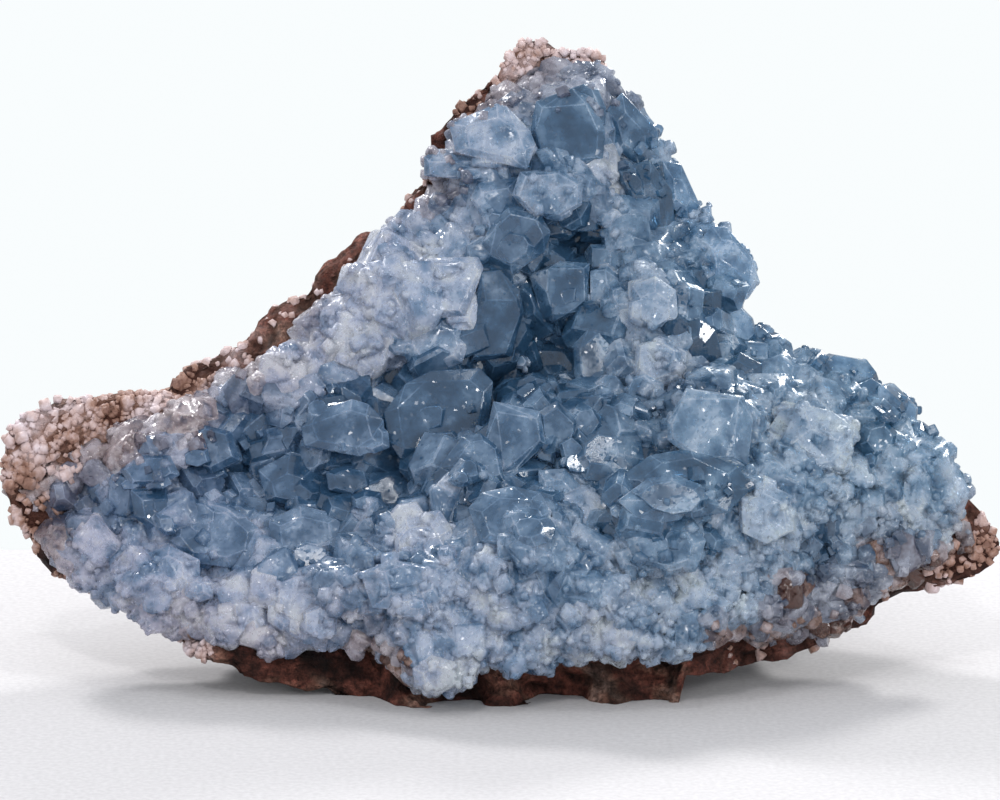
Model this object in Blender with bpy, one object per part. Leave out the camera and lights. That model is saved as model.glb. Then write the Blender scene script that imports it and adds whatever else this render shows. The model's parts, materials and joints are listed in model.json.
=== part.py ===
"""A hand specimen of celestite, broken out of a geode.

The piece has two parts that grew together: the brown rock of the geode's wall, which carries
everything, and the crust of blocky blue crystals that lines the hollow in it. It stands on a small
flat spot under its heaviest part, with its back wall rising to a peak and a wing at each side.

The forms are laid out in a drawing of the front, in millimetres: across runs to the right, up runs
up the drawing, and behind runs away from the viewer. The drawing leans back from the upright,
because the piece is looked down on a little. Blender's own units here are metres, +Z is up, and the
origin is on the floor under the middle of the piece.
"""

import bmesh
import bpy
import math
import random
from mathutils import Matrix, Vector, noise

for old in list(bpy.data.objects):
    bpy.data.objects.remove(old, do_unlink=True)

# The drawing and the world
MM = 0.001
LEAN = Matrix.Rotation(math.radians(-11), 3, "X")  # the drawing leans back 11 degrees
DISTANCE = 900.0  # the drawing shows the piece as it looks from this far away
MIDDLE = Vector((-0.45, -9.7, 53.6))  # the drawing's middle, from the origin on the floor
HEART = (4.0, -16.0)  # every outline goes once round this point of the drawing

# The rock
ROCK_DETAIL = 5
ROCK_TRIANGLES = 0.5  # share of the triangles that the rock keeps
ROCK_LUMPS = (11.0, 2.4)  # how wide and how high its lumps and ledges are

# The crust of crystals
BED_DETAIL = 5
BED_TRIANGLES = 0.34
BED_LUMPS = (7.0, 1.2)
BED_DEPTH = 2.2  # the bed between the crystals lies this far behind their faces
BED_BACK = 7.0  # the bed's solid runs this far into the rock before it is fitted to the rock
SMALL_SPACING = 7.4
SMALL_SIZE = (5.6, 9.0)
CRUST_TRIANGLES = 0.5
SEAM = 0.35  # the gap between the rock and the crust that sits on it
SEED = 11

ROCK_OUTLINE = (
    (-96, -13), (-94, -7), (-90, -2), (-80, 1), (-66, 2), (-60, 7), (-49, 11), (-43, 18),
    (-37, 22), (-29, 30), (-19, 36), (-15, 42), (-13, 50), (-8, 57), (0, 64), (4, 68), (8, 69),
    (12, 66), (17, 67), (20, 64), (23, 57), (27, 49), (30, 41), (35, 34), (40, 28), (41, 21),
    (40, 14), (47, 6), (57, 3), (66, 0), (74, -4), (79, -11), (86, -17), (92, -20), (96, -26),
    (95, -32), (86, -36), (78, -37), (71, -39), (69, -43), (61, -48), (52, -51), (44, -53),
    (36, -53), (34, -60), (28, -62), (8, -60), (-4, -62), (-14, -63), (-20, -60), (-33, -56),
    (-44, -55), (-51, -51), (-61, -48), (-66, -44), (-79, -37), (-90, -30), (-94, -21),
)

CRUST_OUTLINE = (
    (-93, -17), (-89, -28), (-77, -36), (-59, -47), (-44, -50), (-35, -46), (-22, -48),
    (-19, -54), (-13, -56), (-8, -54), (-6, -51), (9, -51), (19, -50), (35, -48), (40, -48),
    (44, -45), (53, -47), (62, -46), (67, -42), (74, -36), (85, -32), (92, -27), (89, -18),
    (81, -8), (75, -1), (67, 3), (58, 7), (50, 10), (43, 16), (45, 22), (42, 28), (37, 34),
    (32, 41), (29, 49), (25, 57), (18, 63), (10, 65), (2, 63), (-6, 57), (-11, 51), (-14, 43),
    (-17, 37), (-26, 30), (-35, 22), (-43, 14), (-49, 9), (-57, 3), (-64, -2), (-74, -5),
    (-86, -11),
)

# Where the crystals' faces lie: across, up, behind, and how thick the crust is there
FRONT = {
    "peak": (
        (8, 65, 22, 2), (-4, 58, 18, 3), (-1, 51, 12, 8), (12, 53, 14, 8), (27, 52, 20, 6),
        (36, 37, 20, 6), (46, 26, 15, 7), (44, 16, 12, 7),
    ),
    "hollow": (
        (13, 37, 10, 10), (14, 30, 21, 6), (1, 29, 11, 8), (11, 21, 13, 8), (6, 19, 21, 5),
        (22, 29, 14, 8), (20, 8, 9, 8), (0, 3, 18, 5), (-1, 15, 9, 8), (30, 15, 5, 10),
        (29, 3, 1, 10), (38, 11, 5, 10), (12, 8, 17, 6),
    ),
    "left ridge": (
        (-12, 33, 12, 5), (-15, 42, 18, 3), (-19, 19, 4, 8), (-36, 15, 6, 6), (-38, 21, 12, 2),
        (-21, 3, 13, 7), (-44, 5, 0, 8), (-52, 9, 10, 2), (-30, 8, 3, 8),
    ),
    "valley": (
        (-12, -3, 0, 10), (-30, -5, -2, 10), (-45, -5, 6, 7), (-38, -13, 3, 8), (-50, -14, 4, 7),
        (-19, -15, 2, 9), (-55, -25, -5, 8), (-33, -25, -5, 9), (-25, -28, -7, 9),
    ),
    "left wing": (
        (-63, -12, -2, 6), (-75, -1, 6, 1), (-91, -10, 2, 1), (-84, -19, 5, 4), (-80, -31, -4, 3),
        (-65, -43, -12, 2), (-42, -38, -15, 7), (-50, -49, -17, 3), (-31, -46, -19, 6),
    ),
    "front mass": (
        (-28, -36, -22, 8), (-20, -26, -18, 10), (-9, -20, -16, 10), (6, -5, -8, 12),
        (19, -9, -10, 12), (27, -8, -8, 12), (40, -5, -13, 12), (31, -23, -25, 10),
        (4, -31, -27, 9), (-13, -38, -27, 8), (-14, -53, -26, 6), (0, -48, -27, 5),
        (19, -46, -27, 6), (35, -44, -25, 6), (48, -38, -20, 7), (46, -19, -20, 9),
    ),
    "right wing": (
        (53, -5, 0, 8), (59, -7, -6, 9), (71, -6, 1, 8), (74, 1, 8, 4), (58, 8, 10, 5),
        (49, 11, 10, 7), (92, -27, 2, 2), (81, -17, -2, 5), (67, -23, -8, 7), (58, -19, -12, 8),
        (65, -36, -10, 5), (77, -35, -5, 2), (54, -49, -12, 6),
    ),
    "foot": ((12, -57, -20, 3), (-29, -54, -14, 2)),
}

# Where the outside of the geode's wall lies behind the drawing: across, up, behind
BACK = {
    "peak": ((8, 65, 29), (12, 50, 40), (30, 45, 34), (-8, 52, 30), (44, 24, 32)),
    "wall": ((12, 25, 50), (-15, 20, 40), (5, -8, 53), (30, 0, 49), (-28, -8, 43), (42, -12, 45)),
    "left": (
        (-40, 12, 25), (-48, -8, 35), (-70, -10, 23), (-90, -13, 8), (-72, -30, 15),
        (-48, -38, 28),
    ),
    "right": ((58, 0, 35), (74, -8, 25), (90, -26, 10), (68, -32, 23), (50, -38, 34)),
    "under": (
        (5, -38, 52), (-8, -51, 37), (10, -51, 44), (27, -51, 38), (-13, -55, 16), (8, -55, 24),
        (26, -55, 18), (-16, -61, -14), (4, -61, -12), (24, -61, -14), (37, -55, -8),
        (-27, -52, 0), (-36, -54, -6), (-30, -42, 32), (-50, -50, -8), (44, -50, 0),
        (58, -48, 2),
    ),
}

# The crystals that the piece is known by: across, up, how wide and how high each looks, how far
# it points right and up of the viewer, its turn, in degrees, and how much of its end is roof
LANDMARKS = {
    "peak": (
        (-1, 51, 15, 13, -10, 35, 10, 0.5), (-7, 45, 17, 6, -8, 20, 5, 0.3),
        (12.5, 53, 14, 14, 8, 28, 20, 0.35), (22, 57, 8, 8, 40, 40, 0, 0.5),
        (27, 51, 8, 8, 50, 30, 30, 0.6), (30, 45, 7, 8, 55, 25, 10, 0.5),
        (36, 41, 6, 8, 50, 35, 0, 0.7), (39, 35, 7, 7, 50, 20, 30, 0.5),
        (43, 30, 7, 8, 55, 25, 15, 0.5), (46, 24, 8, 7, 50, 10, 0, 0.4),
        (3, 42, 8, 7, 0, 25, 20, 0.5), (20, 43, 8, 7, 15, 20, 10, 0.5),
    ),
    "hollow": (
        (1, 29, 10, 10, 0, 15, 30, 0.4), (22.5, 29, 9, 9, 10, 10, 10, 0.4),
        (11.5, 21, 12, 11, -5, 5, 45, 0.3), (20, 21.5, 7, 9, 35, 5, 0, 0.3),
        (20.5, 7.5, 13.5, 14.5, 0, 8, 30, 0.3), (-1, 15, 10, 14, 10, 10, 12, 0.3),
        (6, 6, 11.5, 12.5, -8, 5, 5, 0.3), (-8, 21.5, 8, 12, -5, 30, 0, 0.6),
        (-13, 11, 12.5, 9, 0, 12, 0, 0.3), (27.5, 3.5, 7, 7, 10, 20, 20, 0.5),
        (34, 20, 7, 8, 30, 15, 10, 0.5), (37, 12, 8, 7, 20, 20, 35, 0.5),
    ),
    "valley": (
        (-12, -3.5, 18, 17, -5, 25, 25, 0.55), (-30, -5, 16, 12, -5, 50, 10, 0.6),
        (-45, -5, 13, 8, 0, 30, 0, 0.4), (-56, -3, 7, 7, -5, 40, 0, 0.4),
        (-61, -12.5, 14, 9, -10, 25, 15, 0.5), (-50, -15, 6, 9, 0, 40, 0, 0.9),
        (-36, -14.5, 12.5, 10, 5, 30, 25, 0.5), (-54.5, -25, 16, 12, 0, 25, 10, 0.5),
        (-23.5, -10.5, 9, 7, 0, 50, 0, 0.5), (-38, -24, 10, 9, 10, 30, 0, 0.6),
        (-28, -19, 9, 8, 0, 35, 20, 0.6), (-46, -33, 10, 9, 0, 20, 10, 0.6),
    ),
    "left wing": (
        (-67, -20.5, 8, 7, 10, 25, 5, 0.3), (-72.5, -16.5, 6, 6, 0, 30, 0, 0.5),
        (-75, -24, 9, 9, -10, 15, 20, 0.4), (-66, -31, 9, 8, -10, 5, 0, 0.5),
    ),
    "front mass": (
        (-16, -24.5, 10, 7, -10, 40, 10, 0.5), (-7, -22, 9, 13, -10, 55, 0, 0.8),
        (3, -19.5, 11, 10, 0, 45, 20, 0.5), (7, -5.5, 17, 11, 5, 62, 8, 0.75),
        (19.5, -8.5, 9, 10, 0, 50, 15, 0.6), (9, -12, 14, 7, 0, 35, 0, 0.5),
        (40.5, -5, 17, 15, -12, 22, 4, 0.22), (24, -12.5, 9, 6, 0, 45, 30, 0.5),
        (31, -22, 22, 16, 0, 45, 12, 0.6), (31.5, -29, 10, 9, 5, 20, 0, 0.6),
        (-20, -34.5, 14, 9, -25, 15, 5, 0.35), (14, -21, 10, 9, 0, 40, 35, 0.5),
        (46, -15, 9, 9, 15, 25, 10, 0.5), (10, -34, 9, 9, 0, 10, 20, 0.6),
        (-14, -54, 8, 7, -5, -25, 10, 0.6),
    ),
    "right wing": (
        (59.5, -7.5, 15, 12, 0, 35, 15, 0.5), (65.5, -1, 8, 6, 15, 50, 0, 0.5),
        (58.5, -16, 9.5, 9, 0, 20, 0, 0.5), (73, -1, 7, 6, 25, 55, 0, 0.7),
        (56, 6, 7, 6, 0, 60, 0, 0.7), (78, -8, 6, 6, 35, 45, 0, 0.7),
        (71, -11, 9, 8, 10, 30, 20, 0.5), (50, 9, 7, 6, 10, 60, 20, 0.6),
    ),
}

specimen = bpy.data.collections.new("celestite")
tools = bpy.data.collections.new("cutters")
bpy.context.scene.collection.children.link(specimen)
bpy.context.scene.collection.children.link(tools)


def world(across, behind, up):
    """The world place, in metres, of a point that the drawing shows and that lies behind it."""
    spread = 1 + behind / DISTANCE
    return (LEAN @ Vector((across * spread, behind, up * spread)) + MIDDLE) * MM


def relief(zones, across, up, item):
    """A value between those of the named places; one counts much less from further away."""
    total = weights = 0.0
    for places in zones.values():
        for place in places:
            away = (place[0] - across) ** 2 + (place[1] - up) ** 2
            weight = 1 / (away + 9.0) ** 2.6
            total += weight * place[item]
            weights += weight
    return total / weights


def crystal_face(across, up):
    """How far behind the drawing the crystals' faces lie."""
    return relief(FRONT, across, up, 2)


def crust_bed(across, up):
    """The bed that the crystals grow from."""
    return crystal_face(across, up) + BED_DEPTH


def rock_face(across, up):
    """The rock under the crust."""
    return crystal_face(across, up) + relief(FRONT, across, up, 3)


def crust_back(across, up):
    """The inner side of the crust's solid, which lies in the rock until it is fitted to it."""
    return rock_face(across, up) + BED_BACK


def rock_back(across, up):
    """The outside of the geode's wall."""
    return relief(BACK, across, up, 2)


class Form:
    """A lump as the drawing shows it: its outline, and how far back its two sides lie."""

    def __init__(self, outline, near, far):
        spokes = []
        for across, up in outline:
            side, height = across - HEART[0], up - HEART[1]
            spokes.append((math.atan2(height, side), math.hypot(side, height)))
        spokes.sort()
        first, last = spokes[0], spokes[-1]
        before, after = (last[0] - math.tau, last[1]), (first[0] + math.tau, first[1])
        self.spokes = [before, *spokes, after]
        self.near, self.far = near, far

    def reach(self, turn):
        """How far the outline is from the heart of the drawing in one direction, in radians."""
        for (start, close), (end, away) in zip(self.spokes, self.spokes[1:]):
            if start <= turn <= end:
                return close + (away - close) * (turn - start) / max(end - start, 1e-9)

    def share(self, across, up):
        """0 at the heart of the drawing and 1 at the outline."""
        side, height = across - HEART[0], up - HEART[1]
        return math.hypot(side, height) / self.reach(math.atan2(height, side))

    def side(self, across, up, share, front=True):
        """How far behind the drawing one side lies, where it rounds over to meet the other."""
        near, far = self.near(across, up), self.far(across, up)
        round_over = max(0.0, 1 - share * share) ** 0.3
        return (near + far) / 2 + (near - far) / 2 * round_over * (1 if front else -1)


def rugged(place, size, height):
    """A push in or out for lumps and pits, half of it in steps like broken ledges."""
    lump = noise.noise(place / size) + 0.5 * noise.noise(place / size * 2.3)
    return height * (lump + 0.5 * (round(lump * 3) / 3 - lump))


def warped(name, form, detail, lumps, kept):
    """A closed lump of the given form, as a ball that is drawn out, made rugged and thinned."""
    bm = bmesh.new()
    bmesh.ops.create_icosphere(bm, subdivisions=detail, radius=1.0)
    for vert in bm.verts:
        side, depth, height = vert.co
        turn, share = math.atan2(height, side), math.hypot(side, height)
        out = Vector((math.cos(turn), 0, math.sin(turn)))
        spot = Vector((HEART[0], 0, HEART[1])) + out * share * form.reach(turn)
        spot.y = form.side(spot.x, spot.z, share, depth < 0)
        facing = out * share ** 4 + Vector((0, math.copysign(1 - share ** 4, depth), 0))
        spot += facing * rugged(spot, *lumps)
        vert.co = world(*spot)
    mesh = bpy.data.meshes.new(name)
    bm.to_mesh(mesh)
    bm.free()
    lump = bpy.data.objects.new(name, mesh)
    tools.objects.link(lump)
    thinned(lump, kept)
    return lump


def thinned(solid, kept):
    """Adds a modifier that keeps only a share of an object's triangles."""
    thin = solid.modifiers.new("fewer faces", "DECIMATE")
    thin.ratio = kept


def applied(solid, name, home):
    """A new object with the shape that another's modifiers give it; the other is removed."""
    graph = bpy.context.evaluated_depsgraph_get()
    mesh = bpy.data.meshes.new_from_object(solid.evaluated_get(graph))
    made = bpy.data.objects.new(name, mesh)
    home.objects.link(made)
    bpy.data.objects.remove(solid, do_unlink=True)
    return made


def cut(bm, point, normal):
    """Cuts a closed shape along a plane, keeps what lies behind it and closes the cut."""
    whole = bm.verts[:] + bm.edges[:] + bm.faces[:]
    found = bmesh.ops.bisect_plane(
        bm, geom=whole, plane_co=point, plane_no=normal, clear_outer=True
    )
    rim = [item for item in found["geom_cut"] if isinstance(item, bmesh.types.BMEdge)]
    bmesh.ops.holes_fill(bm, edges=rim)


def largest_piece(solid):
    """Leaves only the largest of an object's loose pieces, so that no chip hangs in the air."""
    bm = bmesh.new()
    bm.from_mesh(solid.data)
    left, pieces = set(bm.verts), []
    while left:
        todo, piece = [left.pop()], []
        while todo:
            vert = todo.pop()
            piece.append(vert)
            near = [edge.other_vert(vert) for edge in vert.link_edges]
            todo += [other for other in near if other in left]
            left.difference_update(near)
        pieces.append(piece)
    pieces.sort(key=len)
    for piece in pieces[:-1]:
        bmesh.ops.delete(bm, geom=piece, context="VERTS")
    bm.to_mesh(solid.data)
    bm.free()


def finish(solid, name, colour, roughness):
    """Gives an object its one plain finish."""
    made = bpy.data.materials.new(name)
    made.use_nodes = True
    shader = made.node_tree.nodes["Principled BSDF"]
    shader.inputs["Base Color"].default_value = (*colour, 1)
    shader.inputs["Roughness"].default_value = roughness
    shader.inputs["Metallic"].default_value = 0.0
    solid.data.materials.clear()
    solid.data.materials.append(made)


def build_rock():
    """The brown wall of the geode, cut flat where it stands."""
    form = Form(ROCK_OUTLINE, rock_face, rock_back)
    lump = warped("rock lump", form, ROCK_DETAIL, ROCK_LUMPS, ROCK_TRIANGLES)
    rock = applied(lump, "rock_wall", specimen)
    bm = bmesh.new()
    bm.from_mesh(rock.data)
    cut(bm, Vector((0, 0, 0)), Vector((0, 0, -1)))
    bmesh.ops.recalc_face_normals(bm, faces=bm.faces)
    bm.to_mesh(rock.data)
    bm.free()
    finish(rock, "brown rock", (0.16, 0.085, 0.055), 0.85)
    return rock


def crystal(width, height, length, roof, chance):
    """A blocky prism along +Z with some of its corners cut and a roof of four slopes."""
    bm = bmesh.new()
    bmesh.ops.create_cube(bm, size=1.0)
    root = max(width, height) * 0.45
    for vert in bm.verts:
        vert.co.x *= width
        vert.co.y *= height
        vert.co.z = length if vert.co.z > 0 else -root
    for side, ahead in ((1, 1), (1, -1), (-1, 1), (-1, -1)):
        corner = min(width, height) * chance.uniform(0.08, 0.4)
        edge = Vector((side * (width / 2 - corner), ahead * height / 2, 0))
        cut(bm, edge, Vector((side, ahead * chance.uniform(0.6, 1.6), 0)))
    for side in (1, -1):
        edge = Vector((side * width / 2 * (1 - roof), 0, length))
        cut(bm, edge, Vector((side, 0, chance.uniform(0.7, 1.3))))
        edge = Vector((0, side * height / 2 * (1 - roof * chance.uniform(0.4, 0.9)), length))
        cut(bm, edge, Vector((0, side, chance.uniform(0.8, 1.4))))
    bmesh.ops.recalc_face_normals(bm, faces=bm.faces)
    return bm


def pointing(right, up):
    """The world direction of a crystal that points right and up of the viewer, in degrees."""
    right, up = math.radians(right), math.radians(up)
    ahead = math.cos(up)
    return LEAN @ Vector((math.sin(right) * ahead, -math.cos(right) * ahead, math.sin(up)))


def face_place(form, across, up):
    """The world place on the crystals' faces that the drawing shows at one point."""
    behind = form.side(across, up, form.share(across, up)) - BED_DEPTH
    return world(across, behind, up)


def standing_out(form, across, up):
    """The world direction straight out of the crust."""
    step = 1.5
    along = face_place(form, across + step, up) - face_place(form, across - step, up)
    above = face_place(form, across, up + step) - face_place(form, across, up - step)
    return along.cross(above).normalized()


def planted(name, form, across, up, width, height, aim, turn, roof, chance):
    """One crystal as an object, rooted in the crust where the drawing shows it."""
    length = min(width, height) * 0.55
    bm = crystal(width, height, length, roof, chance)
    stand = aim.to_track_quat("Z", "Y").to_matrix().to_4x4()
    spin = Matrix.Rotation(math.radians(turn), 4, "Z")
    tip = Matrix.Translation(face_place(form, across, up))
    sunk = Matrix.Translation(Vector((0, 0, -length * 0.8)))
    bm.transform(tip @ stand @ spin @ Matrix.Scale(MM, 4) @ sunk)
    mesh = bpy.data.meshes.new(name)
    bm.to_mesh(mesh)
    bm.free()
    return bpy.data.objects.new(name, mesh)


def crystals(form, home):
    """Every crystal of the crust: those placed by name, then small ones in between."""
    chance = random.Random(SEED)
    named = [item for zone in LANDMARKS.values() for item in zone]
    for number, (across, up, width, height, right, tilt, turn, roof) in enumerate(named):
        made = planted(
            f"crystal {number}", form, across, up, width, height, pointing(right, tilt), turn,
            roof, chance,
        )
        home.objects.link(made)
    for row in range(int(130 / SMALL_SPACING)):
        for column in range(int(192 / SMALL_SPACING)):
            across = -96 + SMALL_SPACING * (column + 0.5 * (row % 2) + chance.uniform(-0.3, 0.3))
            up = -60 + SMALL_SPACING * (row + chance.uniform(-0.3, 0.3))
            size = chance.uniform(*SMALL_SIZE)
            shape = (size * chance.uniform(0.8, 1.2), size * chance.uniform(0.75, 1.1))
            sway = Vector([chance.uniform(-0.45, 0.45) for _ in range(3)])
            turn, roof = chance.uniform(0, 90), chance.uniform(0.4, 0.9)
            taken = any(
                math.hypot(across - item[0], up - item[1]) < 0.36 * max(item[2], item[3]) + 1.5
                for item in named
            )
            if taken or form.share(across, up) > 0.97:
                continue
            aim = (standing_out(form, across, up) + sway).normalized()
            made = planted(
                f"small crystal {row} {column}", form, across, up, *shape, aim, turn, roof, chance
            )
            home.objects.link(made)


def build_crust(rock):
    """The crust of crystals, joined in one solid and fitted to the rock behind it."""
    form = Form(CRUST_OUTLINE, crust_bed, crust_back)
    lump = warped("crust lump", form, BED_DETAIL, BED_LUMPS, BED_TRIANGLES)
    bed = applied(lump, "crust bed", tools)
    grown = bpy.data.collections.new("crystals")
    tools.children.link(grown)
    crystals(form, grown)
    join = bed.modifiers.new("crystals", "BOOLEAN")
    join.operation = "UNION"
    join.operand_type = "COLLECTION"
    join.collection = grown
    join.use_self = True
    thinned(bed, CRUST_TRIANGLES)
    joined = applied(bed, "joined crystals", tools)
    for single in list(grown.objects):
        bpy.data.objects.remove(single, do_unlink=True)

    room = rock.copy()
    room.data = rock.data.copy()
    room.name = "room for the rock"
    tools.objects.link(room)
    room.hide_render = True
    room.display_type = "WIRE"
    outwards = [normal.vector.copy() for normal in room.data.vertex_normals]
    for vert, outward in zip(room.data.vertices, outwards):
        vert.co += outward * SEAM * MM
    fit = joined.modifiers.new("seat on the rock", "BOOLEAN")
    fit.operation = "DIFFERENCE"
    fit.object = room
    crust = applied(joined, "crystal_crust", specimen)
    largest_piece(crust)
    finish(crust, "blue celestite", (0.22, 0.33, 0.44), 0.25)


build_crust(build_rock())
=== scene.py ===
import json
import math
import random

import bmesh
import bpy
import numpy as np
from mathutils import Matrix, Vector, noise
from mathutils.bvhtree import BVHTree

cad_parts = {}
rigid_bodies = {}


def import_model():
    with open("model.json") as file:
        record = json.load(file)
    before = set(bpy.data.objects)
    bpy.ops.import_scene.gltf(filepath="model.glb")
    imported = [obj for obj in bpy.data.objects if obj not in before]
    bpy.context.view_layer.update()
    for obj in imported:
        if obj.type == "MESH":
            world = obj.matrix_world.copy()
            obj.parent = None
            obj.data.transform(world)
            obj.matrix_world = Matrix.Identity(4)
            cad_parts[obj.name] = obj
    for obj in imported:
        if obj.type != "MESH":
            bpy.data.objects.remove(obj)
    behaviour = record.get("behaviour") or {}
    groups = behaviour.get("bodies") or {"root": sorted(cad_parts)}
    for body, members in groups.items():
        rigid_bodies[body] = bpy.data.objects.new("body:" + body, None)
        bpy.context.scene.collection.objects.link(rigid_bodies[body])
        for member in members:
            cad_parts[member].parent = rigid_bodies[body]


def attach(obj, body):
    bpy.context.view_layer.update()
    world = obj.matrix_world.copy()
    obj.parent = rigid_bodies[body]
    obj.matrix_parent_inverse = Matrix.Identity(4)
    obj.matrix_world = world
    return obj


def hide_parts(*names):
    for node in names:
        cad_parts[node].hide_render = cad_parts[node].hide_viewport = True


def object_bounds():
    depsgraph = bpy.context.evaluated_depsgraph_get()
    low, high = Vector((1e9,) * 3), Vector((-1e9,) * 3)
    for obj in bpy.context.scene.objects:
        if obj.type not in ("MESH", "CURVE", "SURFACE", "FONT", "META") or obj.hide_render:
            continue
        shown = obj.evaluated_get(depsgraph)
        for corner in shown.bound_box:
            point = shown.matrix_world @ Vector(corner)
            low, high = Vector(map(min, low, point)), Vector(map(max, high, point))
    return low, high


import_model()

cad_box = [[float(value) for value in corner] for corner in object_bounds()]

# The view
# The specimen is drawn from the front, in millimetres across, behind and up, on a drawing that
# leans back from the upright. The camera stands where the drawing is true, and looks a little down.
MM = 0.001
LEAN = Matrix.Rotation(math.radians(-11), 3, "X")
DISTANCE = 900.0
MIDDLE = Vector((-0.45, -9.7, 53.6))
SEEN_WIDTH = 192.0

scene = bpy.context.scene
camera = bpy.data.objects.new("camera", bpy.data.cameras.new("camera"))
scene.collection.objects.link(camera)
camera.location = (MIDDLE + LEAN @ Vector((0, -DISTANCE, 0))) * MM
camera.rotation_euler = (LEAN @ Matrix.Rotation(math.radians(90), 3, "X")).to_euler()
camera.data.sensor_width = 36
camera.data.lens = camera.data.sensor_width * DISTANCE / SEEN_WIDTH
camera.data.clip_start = 0.05
scene.camera = camera


# The table
# A pale painted board that ends a hand's width behind the specimen, before a white wall. It is lit
# by two windows above and behind it, by a weaker one in front and by five small lamps.
BOARD_REACH = 0.5
BOARD_END = 0.096
LAMPS_AIM = Vector((0, 0, 0.045))


def shader(name, roughness=0.5, **plain):
    """A new material: it, its node tree and its Principled shader with plain values set."""
    made = bpy.data.materials.new(name)
    made.use_nodes = True
    principled = made.node_tree.nodes["Principled BSDF"]
    principled.inputs["Roughness"].default_value = roughness
    for socket, value in plain.items():
        principled.inputs[socket.replace("_", " ")].default_value = value
    return made, made.node_tree, principled


def node(tree, kind, inputs=None, **settings):
    """A node of one kind, with its settings, its plain inputs and the links into it."""
    made = tree.nodes.new("ShaderNode" + kind)
    for setting, value in settings.items():
        setattr(made, setting, value)
    for socket, value in (inputs or {}).items():
        if isinstance(value, bpy.types.NodeSocket):
            tree.links.new(value, made.inputs[socket])
        else:
            made.inputs[socket].default_value = value
    return made


def feed(tree, principled, **sources):
    """Links what nodes put out to sockets of a Principled shader."""
    for socket, source in sources.items():
        tree.links.new(source, principled.inputs[socket.replace("_", " ")])


def noisy(tree, where, scale, detail=2.0, roughness=0.5, distortion=0.0):
    """The value of a noise texture at places."""
    made = node(tree, "TexNoise", {
        "Vector": where, "Scale": scale, "Detail": detail, "Roughness": roughness,
        "Distortion": distortion,
    })
    return made.outputs["Fac"]


def ramp(tree, factor, *stops):
    """A colour ramp over a factor, with (position, colour) stops."""
    made = node(tree, "ValToRGB", {"Fac": factor})
    points = made.color_ramp.elements
    while len(points) < len(stops):
        points.new(0.5)
    for point, (position, colour) in zip(points, stops):
        point.position = position
        point.color = (*colour, 1) if isinstance(colour, tuple) else (colour, colour, colour, 1)
    return made.outputs["Color"]


def aimed_lamp(name, place, size, power, colour):
    """A soft lamp at a place that faces the specimen."""
    lamp = bpy.data.objects.new(name, bpy.data.lights.new(name, "AREA"))
    lamp.data.shape = "RECTANGLE"
    lamp.data.size, lamp.data.size_y = size
    lamp.data.energy = power
    lamp.data.color = colour
    lamp.location = place
    lamp.rotation_euler = (LAMPS_AIM - lamp.location).to_track_quat("-Z", "Y").to_euler()
    scene.collection.objects.link(lamp)


bm = bmesh.new()
bmesh.ops.create_grid(bm, x_segments=1, y_segments=1, size=BOARD_REACH)
bmesh.ops.translate(bm, verts=bm.verts, vec=(0, BOARD_END - BOARD_REACH, 0))
floor_mesh = bpy.data.meshes.new("floor")
bm.to_mesh(floor_mesh)
bm.free()
floor = bpy.data.objects.new("floor", floor_mesh)
scene.collection.objects.link(floor)
board, tree, principled = shader("painted board", 0.85, Specular_IOR_Level=0.1)
speck = noisy(tree, node(tree, "TexCoord").outputs["Object"], 900.0)
tint = ramp(tree, speck, (0.3, (0.57, 0.56, 0.57)), (0.7, (0.65, 0.64, 0.65)))
feed(tree, principled, Base_Color=tint)
floor.data.materials.append(board)

wall = bpy.data.worlds.new("white wall")
scene.world = wall
wall.use_nodes = True
tree = wall.node_tree
tree.nodes["Background"].inputs["Color"].default_value = (0.93, 0.96, 1.0, 1)
tree.nodes["Background"].inputs["Strength"].default_value = 0.75
shown = node(tree, "Background", {"Color": (0.945, 0.98, 0.99, 1), "Strength": 1.0})
ray = node(tree, "LightPath")
mix = node(tree, "MixShader", {
    0: ray.outputs["Is Camera Ray"], 1: tree.nodes["Background"].outputs[0], 2: shown.outputs[0],
})
tree.links.new(mix.outputs[0], tree.nodes["World Output"].inputs["Surface"])

aimed_lamp("window at the left", (-0.5, 0.62, 0.75), (0.16, 0.16), 6.0, (1.0, 0.98, 0.98))
aimed_lamp("window at the right", (0.5, 0.75, 0.65), (0.2, 0.14), 6.5, (1.0, 0.99, 0.97))
aimed_lamp("window in front", (-0.2, -0.8, 0.9), (0.1, 0.08), 2.3, (1.0, 0.98, 0.98))
aimed_lamp("lamp at the right", (0.7, -0.5, 0.5), (0.06, 0.06), 0.9, (1.0, 1.0, 1.0))
aimed_lamp("lamp at the left", (-0.75, -0.55, 0.4), (0.06, 0.06), 0.7, (1.0, 0.97, 0.94))
aimed_lamp("lamp above", (0.25, -0.25, 1.0), (0.06, 0.06), 0.9, (1.0, 1.0, 1.0))
aimed_lamp("lamp below the window", (0.3, -0.85, 0.4), (0.05, 0.05), 0.8, (1.0, 1.0, 1.0))
aimed_lamp("lamp on the table", (0.55, -0.75, 0.2), (0.06, 0.06), 0.7, (1.0, 1.0, 1.0))
scene.view_settings.view_transform = "Standard"
scene.cycles.max_bounces = 4
scene.cycles.diffuse_bounces = 1
scene.cycles.glossy_bounces = 1
scene.cycles.transmission_bounces = 3


# The rock wall
# The geode's own wall, broken out of it: brown, rugged rock with ledges, pits and dark seams, that
# carries the whole specimen. It was cracked off with a hammer and stands on a small flat spot.
HEART = (4.0, -16.0)
ROCK_DETAIL = 7
ROCK_LUMPS = (11.0, 2.4)
FINER_LUMPS = 2.3
LUMP_STEPS = 3
ROUND_OVER = 0.3

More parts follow.
